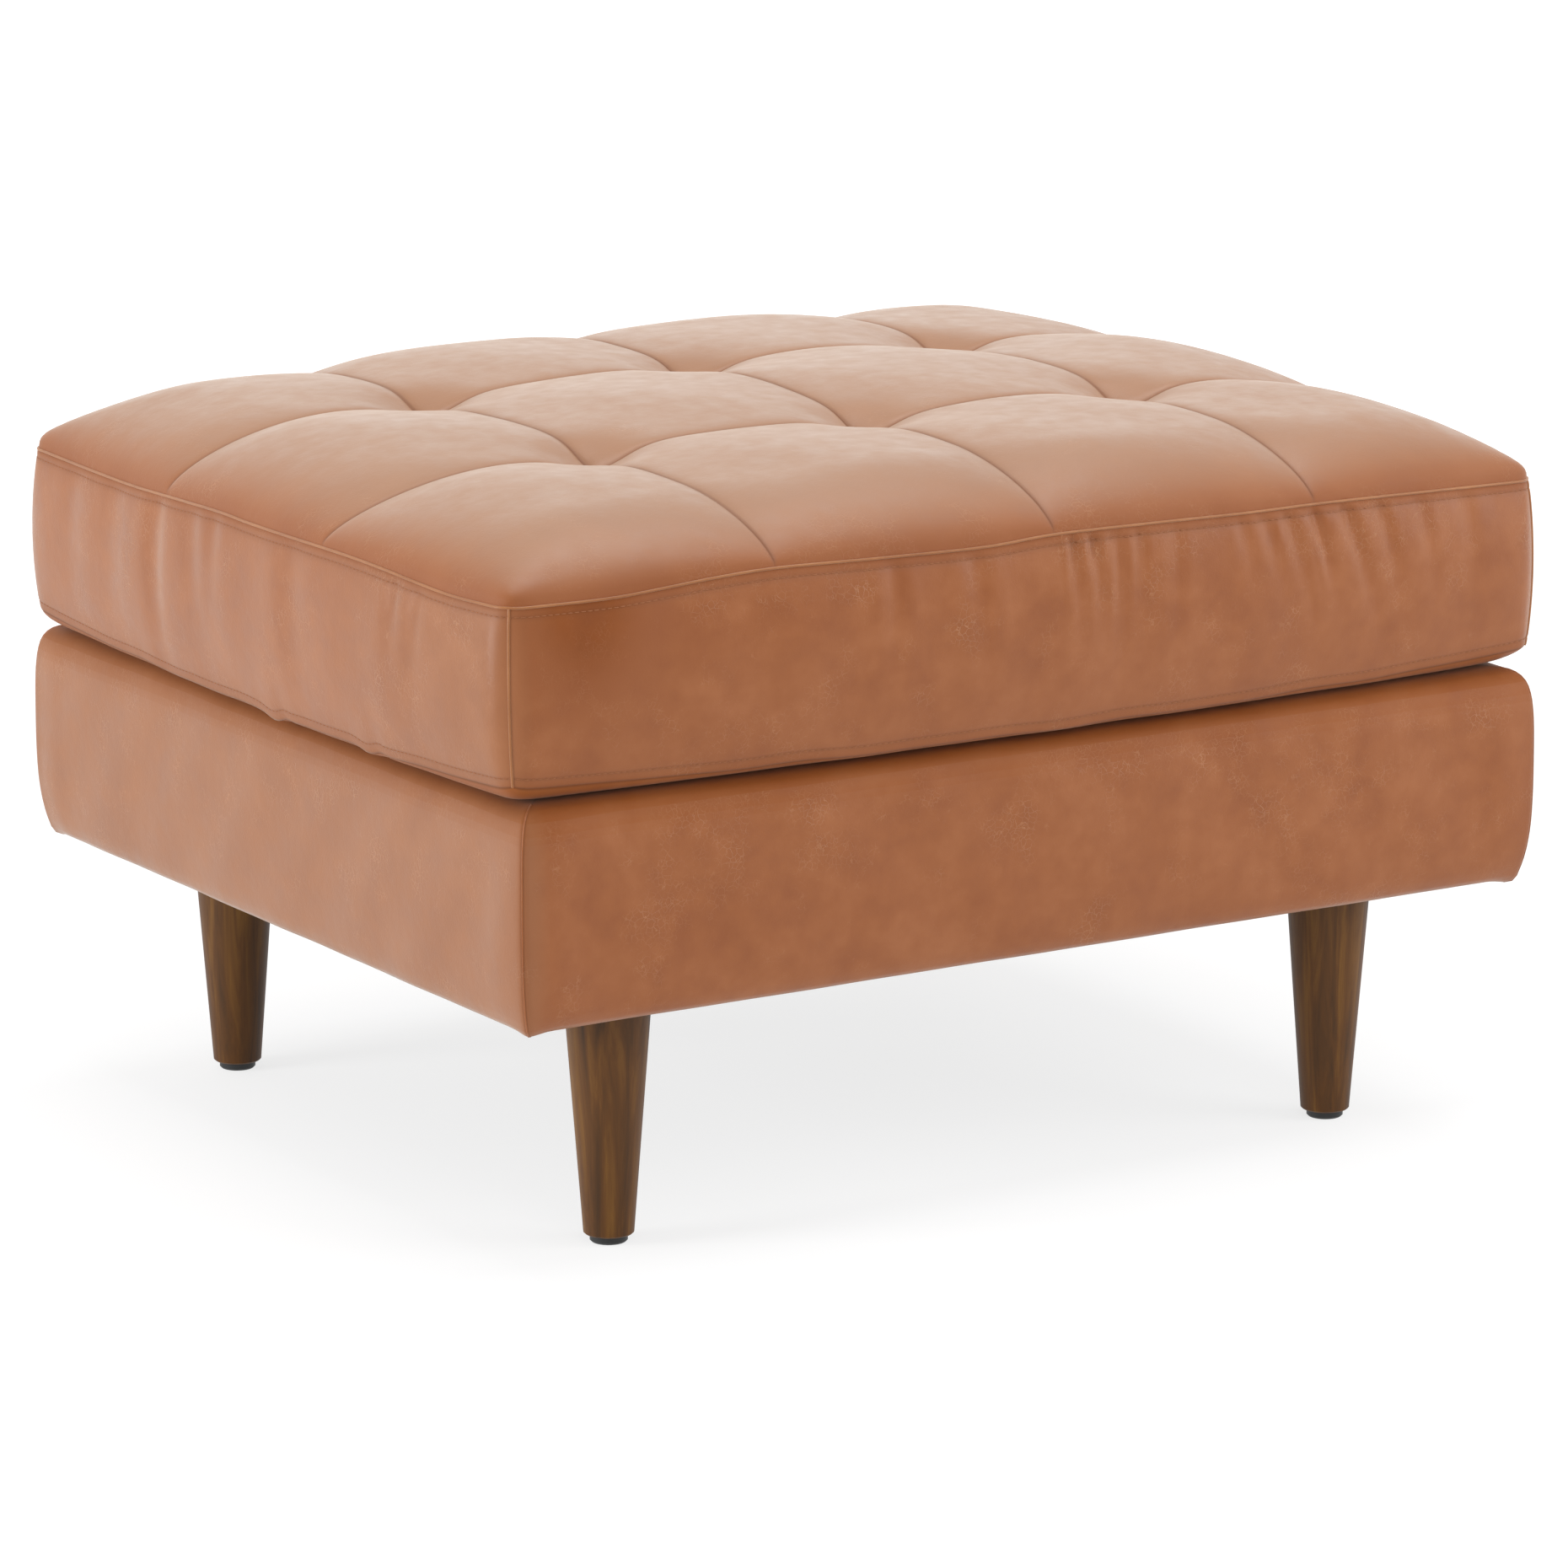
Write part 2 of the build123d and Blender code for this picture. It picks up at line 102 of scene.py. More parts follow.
def empty_tree(owner):
    """The node tree of a material or a world, with nothing in it."""
    owner.use_nodes = True
    owner.node_tree.nodes.clear()
    return owner.node_tree


def new_material(name):
    """A new node material, its tree, its Object coordinates and its Principled shader."""
    material = bpy.data.materials.new(name)
    tree = empty_tree(material)
    shader = add(tree, "ShaderNodeBsdfPrincipled")
    add(tree, "ShaderNodeOutputMaterial", {"Surface": shader})
    return material, tree, add(tree, "ShaderNodeTexCoord").outputs["Object"], shader


print("helpers ready")

# %% [markdown]
# The covers are pull-up leather: aniline-dyed, waxed full-grain cowhide. Its colour lies in the
# wax, which moves away where the hide bends, so worked places turn pale and quiet ones stay deep.
# The eye gets warm patches from 15 to 60 mm wide, pale hair-thin crackle where the hide has
# worked, and a fine grain that breaks the shine of the wax. All of it is noise on Object
# coordinates, so it runs on round corners as it does on a real hide. Four attributes of the mesh
# say where painted shade darkens the leather (beside seams, down corner seams and in the gap, with
# one darker patch on the front), where a sewn line runs, how much the hide has worked, and where a
# painted sheen makes it paler, on the top and the left side.

# %% Pull-up leather
def leather(name, tones, crackle_share, nap=0.32, film=0.5):
    """Waxed cowhide in three tones of one colour, with its crackle, its nap and its wax film."""
    material, tree, place, shader = new_material(name)
    clouds, blotch, wander, worked, pores, ripples = [
        add(tree, "ShaderNodeTexNoise", {"Vector": place, "Scale": scale, "Detail": detail,
                                         "Roughness": roughness, "Distortion": distortion})
        for scale, detail, roughness, distortion in (
            (16.0, 3.0, 0.55, 0.4),     # patches of about 60 mm: 16 per metre
            (65.0, 2.5, 0.5, 0.0),      # and of about 15 mm
            (160.0, 2.0, 0.5, 0.0),     # bends of 6 mm in the crackle's lines
            (24.0, 5.0, 0.7, 0.0),      # places of about 40 mm where the hide has worked
            (850.0, 2.0, 0.5, 0.0),     # pores of about 1.2 mm, drawn coarse so that they show
            (110.0, 3.0, 0.5, 0.0))]    # soft ripples of 9 mm
    shade_and_patch_mark, sewn, worn, rubbed = [
        add(tree, "ShaderNodeAttribute", attribute_name=mark).outputs["Fac"]
        for mark in ("bend", "crease", "worn", "rubbed")]
    # crackle: cells of about 4 mm, bent by noise, and shown only where the hide has worked
    bent = add(tree, "ShaderNodeMix", {0: 0.007, "A": place, "B": wander.outputs["Color"]},
               data_type="RGBA", blend_type="ADD")
    cells = add(tree, "ShaderNodeTexVoronoi", {"Vector": bent, "Scale": 250.0},
                feature="DISTANCE_TO_EDGE")
    lines = add(tree, "ShaderNodeMapRange", {"Value": cells, "From Min": 0.0, "From Max": 0.05,
                                             "To Min": 1.0, "To Max": 0.0})
    where = add(tree, "ShaderNodeMath", {0: worn, 1: 0.15, 2: worked}, operation="MULTIPLY_ADD")
    share = add(tree, "ShaderNodeMapRange", {"Value": where, "From Min": 0.58, "From Max": 0.78,
                                             "To Min": 0.0, "To Max": crackle_share})
    marks = add(tree, "ShaderNodeMath", {0: lines, 1: share}, operation="MULTIPLY")
    # colour: the patches, a painted sheen that paints the top and the left side paler, paler along
    # the crackle, painted shade that darkens it beside seams, down corner seams and in the gap,
    # with one darker patch on the front, and dirt and shade in the sewn line itself
    patchy = add(tree, "ShaderNodeMix", {0: 0.42, "A": clouds, "B": blotch}, data_type="FLOAT")
    shade_and_patch_amount = add(tree, "ShaderNodeMath", {0: shade_and_patch_mark, 1: blotch}, operation="MULTIPLY")
    colour = add(tree, "ShaderNodeValToRGB", {"Fac": patchy}, stops=zip((0.34, 0.50, 0.66), tones))
    for amount, swatch in ((rubbed, "#976A48"), (marks, "#C08C64"), (shade_and_patch_amount, "#74380A"),
                           (sewn, "#693612")):
        colour = add(tree, "ShaderNodeMix", {0: amount, "A": colour, "B": linear(swatch)},
                     data_type="RGBA")
    # gloss: satin, a little duller where the hide is blotched, and dull where the painted shade and
    # the sewn lines lie
    dull = add(tree, "ShaderNodeMapRange", {"Value": blotch, "From Min": 0.3, "From Max": 0.7,
                                            "To Min": 0.28, "To Max": 0.42})
    shaded_and_sewn = add(tree, "ShaderNodeMath", {0: shade_and_patch_mark, 1: sewn}, operation="MAXIMUM")
    gloss = add(tree, "ShaderNodeMix", {0: shaded_and_sewn, "A": dull, "B": 0.9}, data_type="FLOAT")
    # relief: pores, ripples over them and the crackle on top, with depths in mm
    relief = {}
    for height, strength, depth in ((pores, 0.22, 0.3), (ripples, 0.14, 1.2), (marks, 0.6, 0.4)):
        relief["Normal"] = add(tree, "ShaderNodeBump", {"Height": height, "Strength": strength,
                                                        "Distance": depth * MM, **relief})
    # a wax film reflects little straight on and much at a low angle, and its fine nap adds a pale
    # sheen wherever the leather turns away from the eye
    connect(tree, shader, {"Base Color": colour, "Roughness": gloss, "IOR": 1.46,
                           "Specular IOR Level": film, "Sheen Weight": nap,
                           "Sheen Roughness": 0.45, "Sheen Tint": linear("#FFFAEE"), **relief})
    return material


HIDE_TONES = ("#8A4812", "#92501C", "#9A5929")
SEAM_TONES = ("#8F5425", "#995F30", "#A46A3B")
cowhide = leather("Pull-up leather, waxed cowhide", HIDE_TONES, 0.45)
stretched_hide = leather("Pull-up leather, stretched on a seam", SEAM_TONES, 0.15)
# into the gap between cushion and frame, nap and film fade in three steps: shaded copies of the
# leather, which keep a grey sheen out of the gap's shade; crackle fades with them, since nobody
# rubs the leather there
gap_hides = [leather(name, HIDE_TONES, *shares) for name, *shares in (
    ("Pull-up leather, beside a gap", 0.4, 0.27, 0.45),
    ("Pull-up leather, in a gap's mouth", 0.3, 0.21, 0.38),
    ("Pull-up leather, tucked in a gap", 0.0, 0.13, 0.28))]
print("leathers:", [hide.name for hide in [cowhide, stretched_hide] + gap_hides])

# %% [markdown]
# The legs are oiled black walnut, turned along the grain. The eye gets dark and light streaks that
# run down the leg, small short pores, and a soft satin shine. The noise is squeezed across the leg
# and drawn out along it: the broadest streaks are about 11 mm wide and 200 mm long, with finer
# ones inside.

# %% Oiled walnut
walnut, tree, place, shader = new_material("Oiled black walnut, turned")
drawn_out = add(tree, "ShaderNodeMapping", {"Vector": place, "Scale": (90.0, 90.0, 5.0)})
streaks = add(tree, "ShaderNodeTexNoise", {"Vector": drawn_out, "Scale": 1.0, "Detail": 5.0,
                                           "Roughness": 0.6, "Distortion": 0.7})
grain = add(tree, "ShaderNodeValToRGB", {"Fac": streaks},
            stops=[(0.30, "#3A2206"), (0.52, "#5A360D"), (0.72, "#774F1A")])
pore_lines = add(tree, "ShaderNodeMapping", {"Vector": place, "Scale": (900.0, 900.0, 60.0)})
pores = add(tree, "ShaderNodeTexNoise", {"Vector": pore_lines, "Scale": 1.0, "Detail": 2.0})
relief = add(tree, "ShaderNodeBump", {"Height": pores, "Strength": 0.25, "Distance": 0.2 * MM})
connect(tree, shader, {"Base Color": grain, "Normal": relief, "Roughness": 0.5, "IOR": 1.37})
print("made", walnut.name)

# %% [markdown]
# The pieces out of sight get real finishes too, because a view from below or with the cushion
# lifted shows some of them: moulded black nylon glides, woven black polypropylene for the dust
# cover and the deck, cut foam and polyester wadding, planed hardwood, spring steel, zinc-plated
# screws, waxed twine.

# %% Plain finishes for the parts inside
def plain_finish(name, dark, light, grains_per_metre, roughness, metallic=0.0, depth=0.2):
    """A finish with two close tones and a relief of one grain size, with its depth in mm."""
    material, tree, place, shader = new_material(name)
    grains = add(tree, "ShaderNodeTexNoise", {"Vector": place, "Scale": grains_per_metre,
                                              "Detail": 3.0})
    tones = add(tree, "ShaderNodeValToRGB", {"Fac": grains}, stops=[(0.35, dark), (0.65, light)])
    relief = add(tree, "ShaderNodeBump", {"Height": grains, "Strength": 0.5,
                                          "Distance": depth * MM})
    connect(tree, shader, {"Base Color": tones, "Normal": relief, "Roughness": roughness,
                           "Metallic": metallic})
    return material


nylon = plain_finish("Moulded black nylon", "#141414", "#1E1E1E", 500.0, 0.45)
foam = plain_finish("Cut polyurethane foam", "#D9CFA8", "#E8E0C2", 900.0, 0.95, depth=0.5)
wadding = plain_finish("Polyester wadding", "#E4E2DC", "#F2F1EC", 250.0, 0.95, depth=1.0)
hardwood = plain_finish("Planed hardwood", "#B99468", "#CDAA7D", 120.0, 0.7)
spring_steel = plain_finish("Oiled spring steel", "#5F6164", "#77797C", 300.0, 0.4, 1.0)
zinc = plain_finish("Zinc-plated steel", "#A9ABA8", "#C3C5C2", 400.0, 0.38, 1.0)
twine = plain_finish("Waxed polyester twine", "#B9A684", "#D2C2A2", 2000.0, 0.6)
washer_plastic = plain_finish("Moulded grey polypropylene", "#8E8F8D", "#9C9D9B", 400.0, 0.5)

# %% Woven black cloth
# A plain weave with threads 2.2 mm apart, drawn coarser than the real one so that it shows.
black_cloth, tree, place, shader = new_material("Woven black polypropylene")
warp, weft = [add(tree, "ShaderNodeTexWave", {"Vector": place, "Scale": 145.0},
                  bands_direction=direction).outputs["Fac"] for direction in "XY"]
weave = add(tree, "ShaderNodeMath", {0: warp, 1: weft}, operation="MULTIPLY")
threads = add(tree, "ShaderNodeValToRGB", {"Fac": weave},
              stops=[(0.1, "#17171A"), (0.9, "#2B2B2E")])
relief = add(tree, "ShaderNodeBump", {"Height": weave, "Strength": 0.5, "Distance": 0.3 * MM})
connect(tree, shader, {"Base Color": threads, "Normal": relief, "Roughness": 0.85})


def dress(material, *starts):
    """Give a finish to every CAD part whose name starts with one of the words."""
    for name, piece in nodes.items():
        if name.startswith(starts):
            for slot in piece.material_slots:
                slot.material = material


dress(nylon, "glide")
dress(walnut, "leg_front", "leg_back")
dress(hardwood, "rail", "centre_stretcher", "leg_block")
dress(foam, "cushion_foam_core", "deck_pad", "base_pad")
dress(wadding, "cushion_topper", "cushion_wadding")
dress(spring_steel, "spring")
dress(zinc, "frame_screws", "hanger_bolts", "t_nuts")
dress(twine, "tuft_twines")
dress(washer_plastic, "tuft_washers")
print("dressed the CAD parts")

# %% [markdown]
# A box cushion has a top panel, four boxing strips and a bottom panel. Stuffing swells each of
# them, and a seam holds them back, so the faces bow out in plan and the corners stay in. One rule
# gives the outline: a point of a square, from -1 to 1 both ways, goes to a bowed rectangle with
# small round corners. The top seam, the lower seam and all panels between them use this rule with
# their own sizes.

# %% The bowed outline
SEAM_HALF = (378.0, 306.5)          # the top seam's corners in mm, from the middle
SEAM_CORNER_HEIGHT = 423.0
LOWER_HALF = (377.5, 308.4)         # the lower seam's corners
LOWER_CORNER_HEIGHT = 314.8
BOXING_HEIGHT = 108.2               # between the two seams at a corner
TOP_HALF = (388.0, 318.0)           # half sizes of the top and bottom panels over their bows
BOTTOM_HALF = (385.0, 315.0)
CORNER_RADIUS = 13.0


def outline(s, t, half, bows, radius):
    """Plan place in mm of the square's point (s, t); bows are left, right, front and back."""
    left, right, front, back = bows
    square_part = 1 - math.sqrt(0.5)
    reach = [half[0] + square_part * radius, half[1] + square_part * radius]
    x = reach[0] * s + (1 - t * t) * np.where(s < 0, left * (1 - 0.6 * t), right) * s * abs(s) ** 3
    y = reach[1] * t + (1 - s * s) * np.where(t < 0, front, back) * t * abs(t) ** 3
    p = np.maximum(abs(x) - reach[0] + radius, 0) / radius
    q = np.maximum(abs(y) - reach[1] + radius, 0) / radius
    p_round = p * np.sqrt(np.maximum(1 - np.minimum(q, 1) ** 2 / 2, 0))
    q_round = q * np.sqrt(np.maximum(1 - np.minimum(p, 1) ** 2 / 2, 0))
    x = np.sign(x) * (abs(x) - radius * (p - p_round))
    y = np.sign(y) * (abs(y) - radius * (q - q_round))
    return x, y


def rim_gaps(s, t, half):
    """How far in mm the square's point (s, t) is from a panel's ends and from its sides."""
    return (1 - abs(s)) * half[0], (1 - abs(t)) * half[1]


def smooth_line(knots, step):
    """A Catmull-Rom curve through the knots, in short steps."""
    knots = [np.array(k, dtype=float) for k in knots]
    knots = [2 * knots[0] - knots[1]] + knots + [2 * knots[-1] - knots[-2]]
    line = []
    for a, b, c, d in zip(knots, knots[1:], knots[2:], knots[3:]):
        parts = max(1, round(float(np.linalg.norm(c - b)) / step))
        for k in range(parts):
            u = k / parts
            line.append(0.5 * (2 * b + (c - a) * u + (2 * a - 5 * b + 4 * c - d) * u * u
                               + (3 * b - a - 3 * c + d) * u ** 3))
    line.append(knots[-2])
    return np.array(line)


TOP_BOWS = (12.0, 10.0, 15.0, 13.0)
LOWER_BOWS = (5.0, 5.0, 7.0, 7.0)
# how far the stuffing and the sewn lines lift the top seam: place along a face and lift, both in mm
SEAM_LIFTS = {
    "front": [(-382, 0.6), (-316, 0.8), (-280, 3.2), (-240, 6.4), (-198, 8.0), (-130, 6.6),
              (-52, 5.4), (0, 7.8), (75, 7.0), (147, 5.4), (205, 5.0), (280, 3.1), (382, 0.0)],
    "left": [(-310, 0.6), (-287, 0.2), (-253, 0.0), (-217, 1.7), (-180, 3.7), (-142, 4.7),
             (-101, 4.6), (-14, 3.6), (31, 3.6), (108, 0.6), (153, -1.2), (204, -1.8), (255, -1.8),
             (310, -1.6)],
    "back": [(-382, -1.6), (-300, 0.6), (-200, 6.8), (-90, 5.6), (0, 7.9), (90, 6.0), (200, 6.4),
             (310, 1.2), (382, 0.0)],
    "right": [(-310, 0.0), (-220, 0.8), (-106, 4.4), (0, 3.4), (106, 4.2), (220, 0.6), (310, 0.0)]}
LIFT_HALF = (382, 310)              # where these tables end, along a long and a short face
LIFTS = {face: smooth_line(knots, 6.0) for face, knots in SEAM_LIFTS.items()}

COLUMNS = np.array([-200.0, 0.0, 200.0])        # sewn lines across the cushion, and along it
ROWS = np.array([-106.0, 106.0])


def nearest(values, places):
    """Distance in mm from each value to the nearest place."""
    return np.min(abs(values[..., None] - places), axis=-1)


def top_seam_height(s, t):
    """The top seam follows the lifts of the face that is nearest."""
    far = {"front": s * LIFT_HALF[0], "left": t * LIFT_HALF[1]}
    far.update(back=far["front"], right=far["left"])
    lift = {face: np.interp(far[face], line[:, 0], line[:, 1]) for face, line in LIFTS.items()}
    across = abs(t) ** 16 / np.maximum(abs(t) ** 16 + abs(s) ** 16, 1e-12)
    sides = np.where(t < 0, lift["front"], lift["back"])
    ends = np.where(s < 0, lift["left"], lift["right"])
    return SEAM_CORNER_HEIGHT + sides * across + ends * (1 - across)


# the left face's lower edge has two small lumps: places along it in mm
LEFT_LUMPS = (-36, -155)


def lower_seam_height(s, t):
    """The lower seam waves a little, and the stuffing's weight sags it nearly onto the frame."""
    sag_front = np.maximum(1 - s * s, 0) ** 0.75 * t ** 4
    sag_end = np.maximum(1 - t * t, 0) ** 0.75 * s ** 4
    wave = np.sin(s * 19 + t * 15 + 0.6) + 0.6 * np.sin(s * 31 - t * 27 + 1.9)
    far = t * 313       # place along the face, in mm
    lumps = sum(1.3 * np.exp(-((far - at + 8) / 6) ** 2) - 2.4 * np.exp(-((far - at - 7) / 11) ** 2)
                for at in LEFT_LUMPS)
    lumps = lumps * np.where(s < 0, s ** 8, 0)
    return LOWER_CORNER_HEIGHT - (8.5 - 0.55 * wave) * (sag_front + sag_end) + lumps


corner = outline(np.array([1.0]), np.array([-1.0]), SEAM_HALF, TOP_BOWS, CORNER_RADIUS)
print("top seam corner at", [round(float(v[0]), 1) for v in corner])

# %% [markdown]
# The top is sewn into pillows by three lines across and two along, and twine pulls it down where
# they cross. A pillow rises steeply beside a sewn line and flattens towards its crown. Beside a
# tuft the leather runs down to it like a funnel, and at the rim of the cushion it rolls over to
# the seam.

# %% The height of the top panel
CROWN = 480.5
CHANNEL = 475.8
TUFT_DIP = 13.0
DOME = 12.0                         # how much lower the stuffing is at the rims
ROLL = (103.0, 83.0)                # how far from the end and side seams the leather rolls over
# where the stuffing lies unevenly, as in the photo: place, reach both ways, and height, in mm
UNEVEN = [(-60, 250, 170, 110, 2.2), (315, 190, 90, 120, -3.0)]


def top_height(x, y, s, t):
    """Height in mm of the top panel, how close its sewn lines are, and how close its rim is."""
    to_column, to_row = nearest(x, COLUMNS), nearest(y, ROWS)
    full = lambda gap, half: 1 - (1 - np.minimum(gap / half, 1)) ** 2
    pillow = full(to_column, 100) * full(to_row, 106)
    to_tuft = np.hypot(to_column, to_row)
    funnel = 1 / (1 + (to_tuft / 29) ** 2.8)
    crease_depth = 1.5 + 2.6 * funnel
    creases = np.exp(-to_column / 3.6) + np.exp(-to_row / 3.6)
    height = (CHANNEL + (CROWN - CHANNEL) * pillow - TUFT_DIP * funnel
              - crease_depth * np.minimum(creases, 1.15)
              - DOME * ((x / 390) ** 2 + (y / 320) ** 2) - 1.6 * np.maximum(y / 320, 0) ** 2)
    height += 0.8 * np.sin(x / 61 + 1.3) * np.sin(y / 47 + 0.4) + 0.5 * np.sin(x / 23 + y / 31)
    for at_x, at_y, along, across, lift in UNEVEN:
        height += lift * np.exp(-((x - at_x) / along) ** 2 - ((y - at_y) / across) ** 2)
    end_gap, side_gap = rim_gaps(s, t, TOP_HALF)
    # nearly a quarter circle, which starts further in where a sewn line runs out to the seam
    reach = lambda roll, gap: roll * (0.94 + 0.3 * np.exp(-(gap / 24) ** 1.5))
    round_over = lambda gap, far: np.maximum(
        1 - (1 - np.clip(gap / far, 0, 1)) ** 1.9, 1e-6) ** 0.53
    over_end = round_over(end_gap, reach(ROLL[0], to_row))
    over_side = round_over(side_gap, reach(ROLL[1], to_column))
    rolled = (over_end ** -2.5 + over_side ** -2.5 - 1) ** (-1 / 2.5)
    ends_here = lambda line, gap: np.exp(-line / 3.2 - gap / 30) * (1 - np.exp(-gap / 2.5))
    notch = 1.6 * (ends_here(to_column, side_gap) + ends_here(to_row, end_gap))
    seam = top_seam_height(s, t)
    rim = np.minimum(end_gap, side_gap)
    lines = 0.8 * np.maximum(np.exp(-(to_column / 1.2) ** 2), np.exp(-(to_row / 1.2) ** 2))
    return seam + (height - seam) * rolled - notch, lines * np.minimum(rim / 2, 1), rim


middle = top_height(np.array([100.0]), np.array([0.0]), np.array([0.26]), np.array([0.0]))
print("crown of a pillow at", round(float(middle[0][0]), 1), "mm")

# %% [markdown]
# The boxing is a strip of leather between the two seams. It swells out, most in the middle of a
# face, and is held in at the corner seams. The stuffing pulls short folds into it under the top
# seam, and faint long ones down to the lower seam. The folds that the photograph shows are in a
# table, by face, and the faces it doesn't show get folds of the same kind from a fixed seed.

# %% Folds in the boxing
# by face: place along it, half width, depth and length down, all in mm, and lean in mm per mm down
FOLDS = {
    "front": [(12, 4.5, 3.9, 46, 0.10), (27, 4.5, 4.5, 38, 0.14), (45, 5, 2.8, 62, 0.05),
              (63, 5, 2.6, 38, 0.02), (90, 7, 1.4, 60, 0.0), (140, 5, 2.1, 34, 0.20),
              (158, 4.5, 3.1, 38, 0.26), (176, 5, 3.5, 44, 0.30), (197, 6, 2.8, 50, 0.30),
              (222, 7, 4.5, 50, 0.34), (250, 6, 3.5, 44, 0.26), (282, 8, 2.1, 44, 0.20),
              (-118, 9, 1.8, 50, 0.0), (-60, 10, 1.6, 60, 0.1), (320, 9, 1.9, 40, 0.1)],
    "left": [(116, 16, 2.2, 90, 0.0), (66, 16, 1.2, 52, -0.08), (34, 12, 1.2, 44, 0.0),
             (-71, 19, 1.2, 80, 0.0), (-196, 9, 1.9, 40, 0.1), (-222, 9, 1.4, 44, 0.1),
             (178, 22, 1.2, 80, 0.0), (240, 19, 0.9, 70, 0.0)],
    "back": [], "right": []}
chance = np.random.default_rng(11)
for face, half_length in (("back", 340), ("right", 270)):
    for place_along in np.arange(-half_length, half_length, 26.0):
        FOLDS[face].append((place_along + chance.uniform(-9, 9), chance.uniform(5, 10),
                            chance.uniform(0.5, 2.2), chance.uniform(36, 70),
                            chance.uniform(-0.2, 0.25)))
print(sum(len(folds) for folds in FOLDS.values()), "folds")

# %% The boxing between the seams
TOP_STITCH, LOW_STITCH = 5.2, 5.6   # distances of the topstitches from their seams, in mm


def by_stitches(w):
    """For each topstitch, 1 on it and 0 from 2 mm away, at the share w of the boxing's height."""
    return np.exp([-(w * BOXING_HEIGHT - TOP_STITCH) ** 2,
                   -((1 - w) * BOXING_HEIGHT - LOW_STITCH) ** 2])


def boxing(s, t, w, normal):
    """Place in mm of the boxing at the seam's point (s, t); w goes from 0, the top, to 1."""
    top_x, top_y = outline(s, t, SEAM_HALF, TOP_BOWS, CORNER_RADIUS)
    low_x, low_y = outline(s, t, LOWER_HALF, LOWER_BOWS, CORNER_RADIUS)
    top_z, low_z = top_seam_height(s, t), lower_seam_height(s, t)
    on_end = abs(s) >= abs(t)
    along = np.where(on_end, t, s)
    end_gap, side_gap = rim_gaps(s, t, BOTTOM_HALF)
    to_corner = np.where(on_end, side_gap, end_gap)
    x, y = top_x + (low_x - top_x) * w, top_y + (low_y - top_y) * w
    z = top_z + (low_z - top_z) * w
    below = top_z - z
    swell = (6.6 + 1.2 * (1 - along ** 4)) * np.sin(np.pi * np.clip(w, 0, 1)) ** 0.7
    swell *= 1 - 0.35 * np.exp(-(to_corner / 13.0) ** 1.5)
    far = np.where(on_end, y, x)
    swell += (0.7 * np.sin(far / 15 + 1.1) * np.sin(far / 37 + 0.3)
              * np.sin(np.pi * w) * np.minimum(to_corner / 30, 1))
    on_face = {"front": ~on_end & (t < 0), "back": ~on_end & (t > 0),
               "left": on_end & (s < 0), "right": on_end & (s > 0)}
    for face, folds in FOLDS.items():
        for place_along, half_width, depth, length, lean in folds:
            off = (far - place_along - lean * below) / half_width
            shape = (off ** 2 - 0.6) * np.exp(-off ** 2) * 1.4
            swell += np.where(on_face[face], depth * shape * np.exp(-(below / length) ** 2)
                              * (1 - np.exp(-below / 3.5)), 0)
    swell -= 0.35 * by_stitches(w).sum(axis=0)      # the stitches lie in shallow grooves
    return x + normal[0] * swell, y + normal[1] * swell, z


# %% [markdown]
# The cushion cover is one closed skin of quads: a grid for the top panel, rows for the boxing, and
# a grid for the bottom panel, which share the points of the two seams. The grid's lines are closer
# beside sewn lines and seams, where the leather turns sharply, and about 5 mm apart elsewhere.

# %% Grid lines of the cushion cover
RIM_GAPS = [0, 1.2, 2.6, 4.4, 6.8, 10.0]        # lines beside a rim, in mm from it
SEWN_GAPS = [0, 1.3, 2.8, 5.0, 8.0]             # and beside a sewn line
GRID_HALF = (381.8, 310.3)


def grid_lines(half, sewn, step):
    """Places from -1 to 1 across a panel, close together beside its sewn lines and its rim."""
    places = {round(centre + side * gap, 3) for centre in sewn for gap in SEWN_GAPS
              for side in (-1, 1)}
    places.update(round(side * (half - gap), 3) for gap in RIM_GAPS for side in (-1, 1))
    places = sorted(places)
    filled = []
    for low, high in zip(places, places[1:]):
        parts = max(1, round((high - low) / step))
        filled.extend(low + (high - low) * k / parts for k in range(parts))
    return np.array(filled + [half]) / half


s_lines = grid_lines(GRID_HALF[0], COLUMNS, 5.0)
t_lines = grid_lines(GRID_HALF[1], ROWS, 5.0)
# rows down the boxing: those at 5.2 and 102.6 mm carry the topstitches
w_rows = np.array([0, 1.2, 2.6, 4.2, 5.2, 6.2, 8.5, 11.5] + list(np.linspace(15.5, 94, 18))
                  + [98, 101, 102.6, 103.8, 105.4, 107.0, BOXING_HEIGHT]) / BOXING_HEIGHT
print("cover grid", len(s_lines), "by", len(t_lines), "and", len(w_rows), "rows of boxing")

# %% Numbers of points round a rim, in a grid and between two rings
def once_round(count_s, count_t):
    """The rim of a grid as places (i, j), once round from its front left corner."""
    last_s, last_t = count_s - 1, count_t - 1
    return ([(i, 0) for i in range(last_s)] + [(last_s, j) for j in range(last_t)]
            + [(i, last_t) for i in range(last_s, 0, -1)] + [(0, j) for j in range(last_t, 0, -1)])


def grid_quads(count_s, count_t):
    """The quads of a grid of points."""
    return [[k, k + count_t, k + count_t + 1, k + 1] for i in range(count_s - 1)
            for k in range(i * count_t, (i + 1) * count_t - 1)]


def band(above, below):
    """The quads between two closed rings of points."""
    ahead = [*range(1, len(above)), 0]
    return [[above[k], below[k], below[n], above[n]] for k, n in enumerate(ahead)]


def ring_quads(rings, size, closed=False):
    """The quads between rings of so many points each, and back to the first where it closes."""
    numbers = [range(k * size, (k + 1) * size) for k in range(rings)]
    after = numbers[1:] + numbers[:1] * closed
    return [quad for above, below in zip(numbers, after) for quad in band(above, below)]


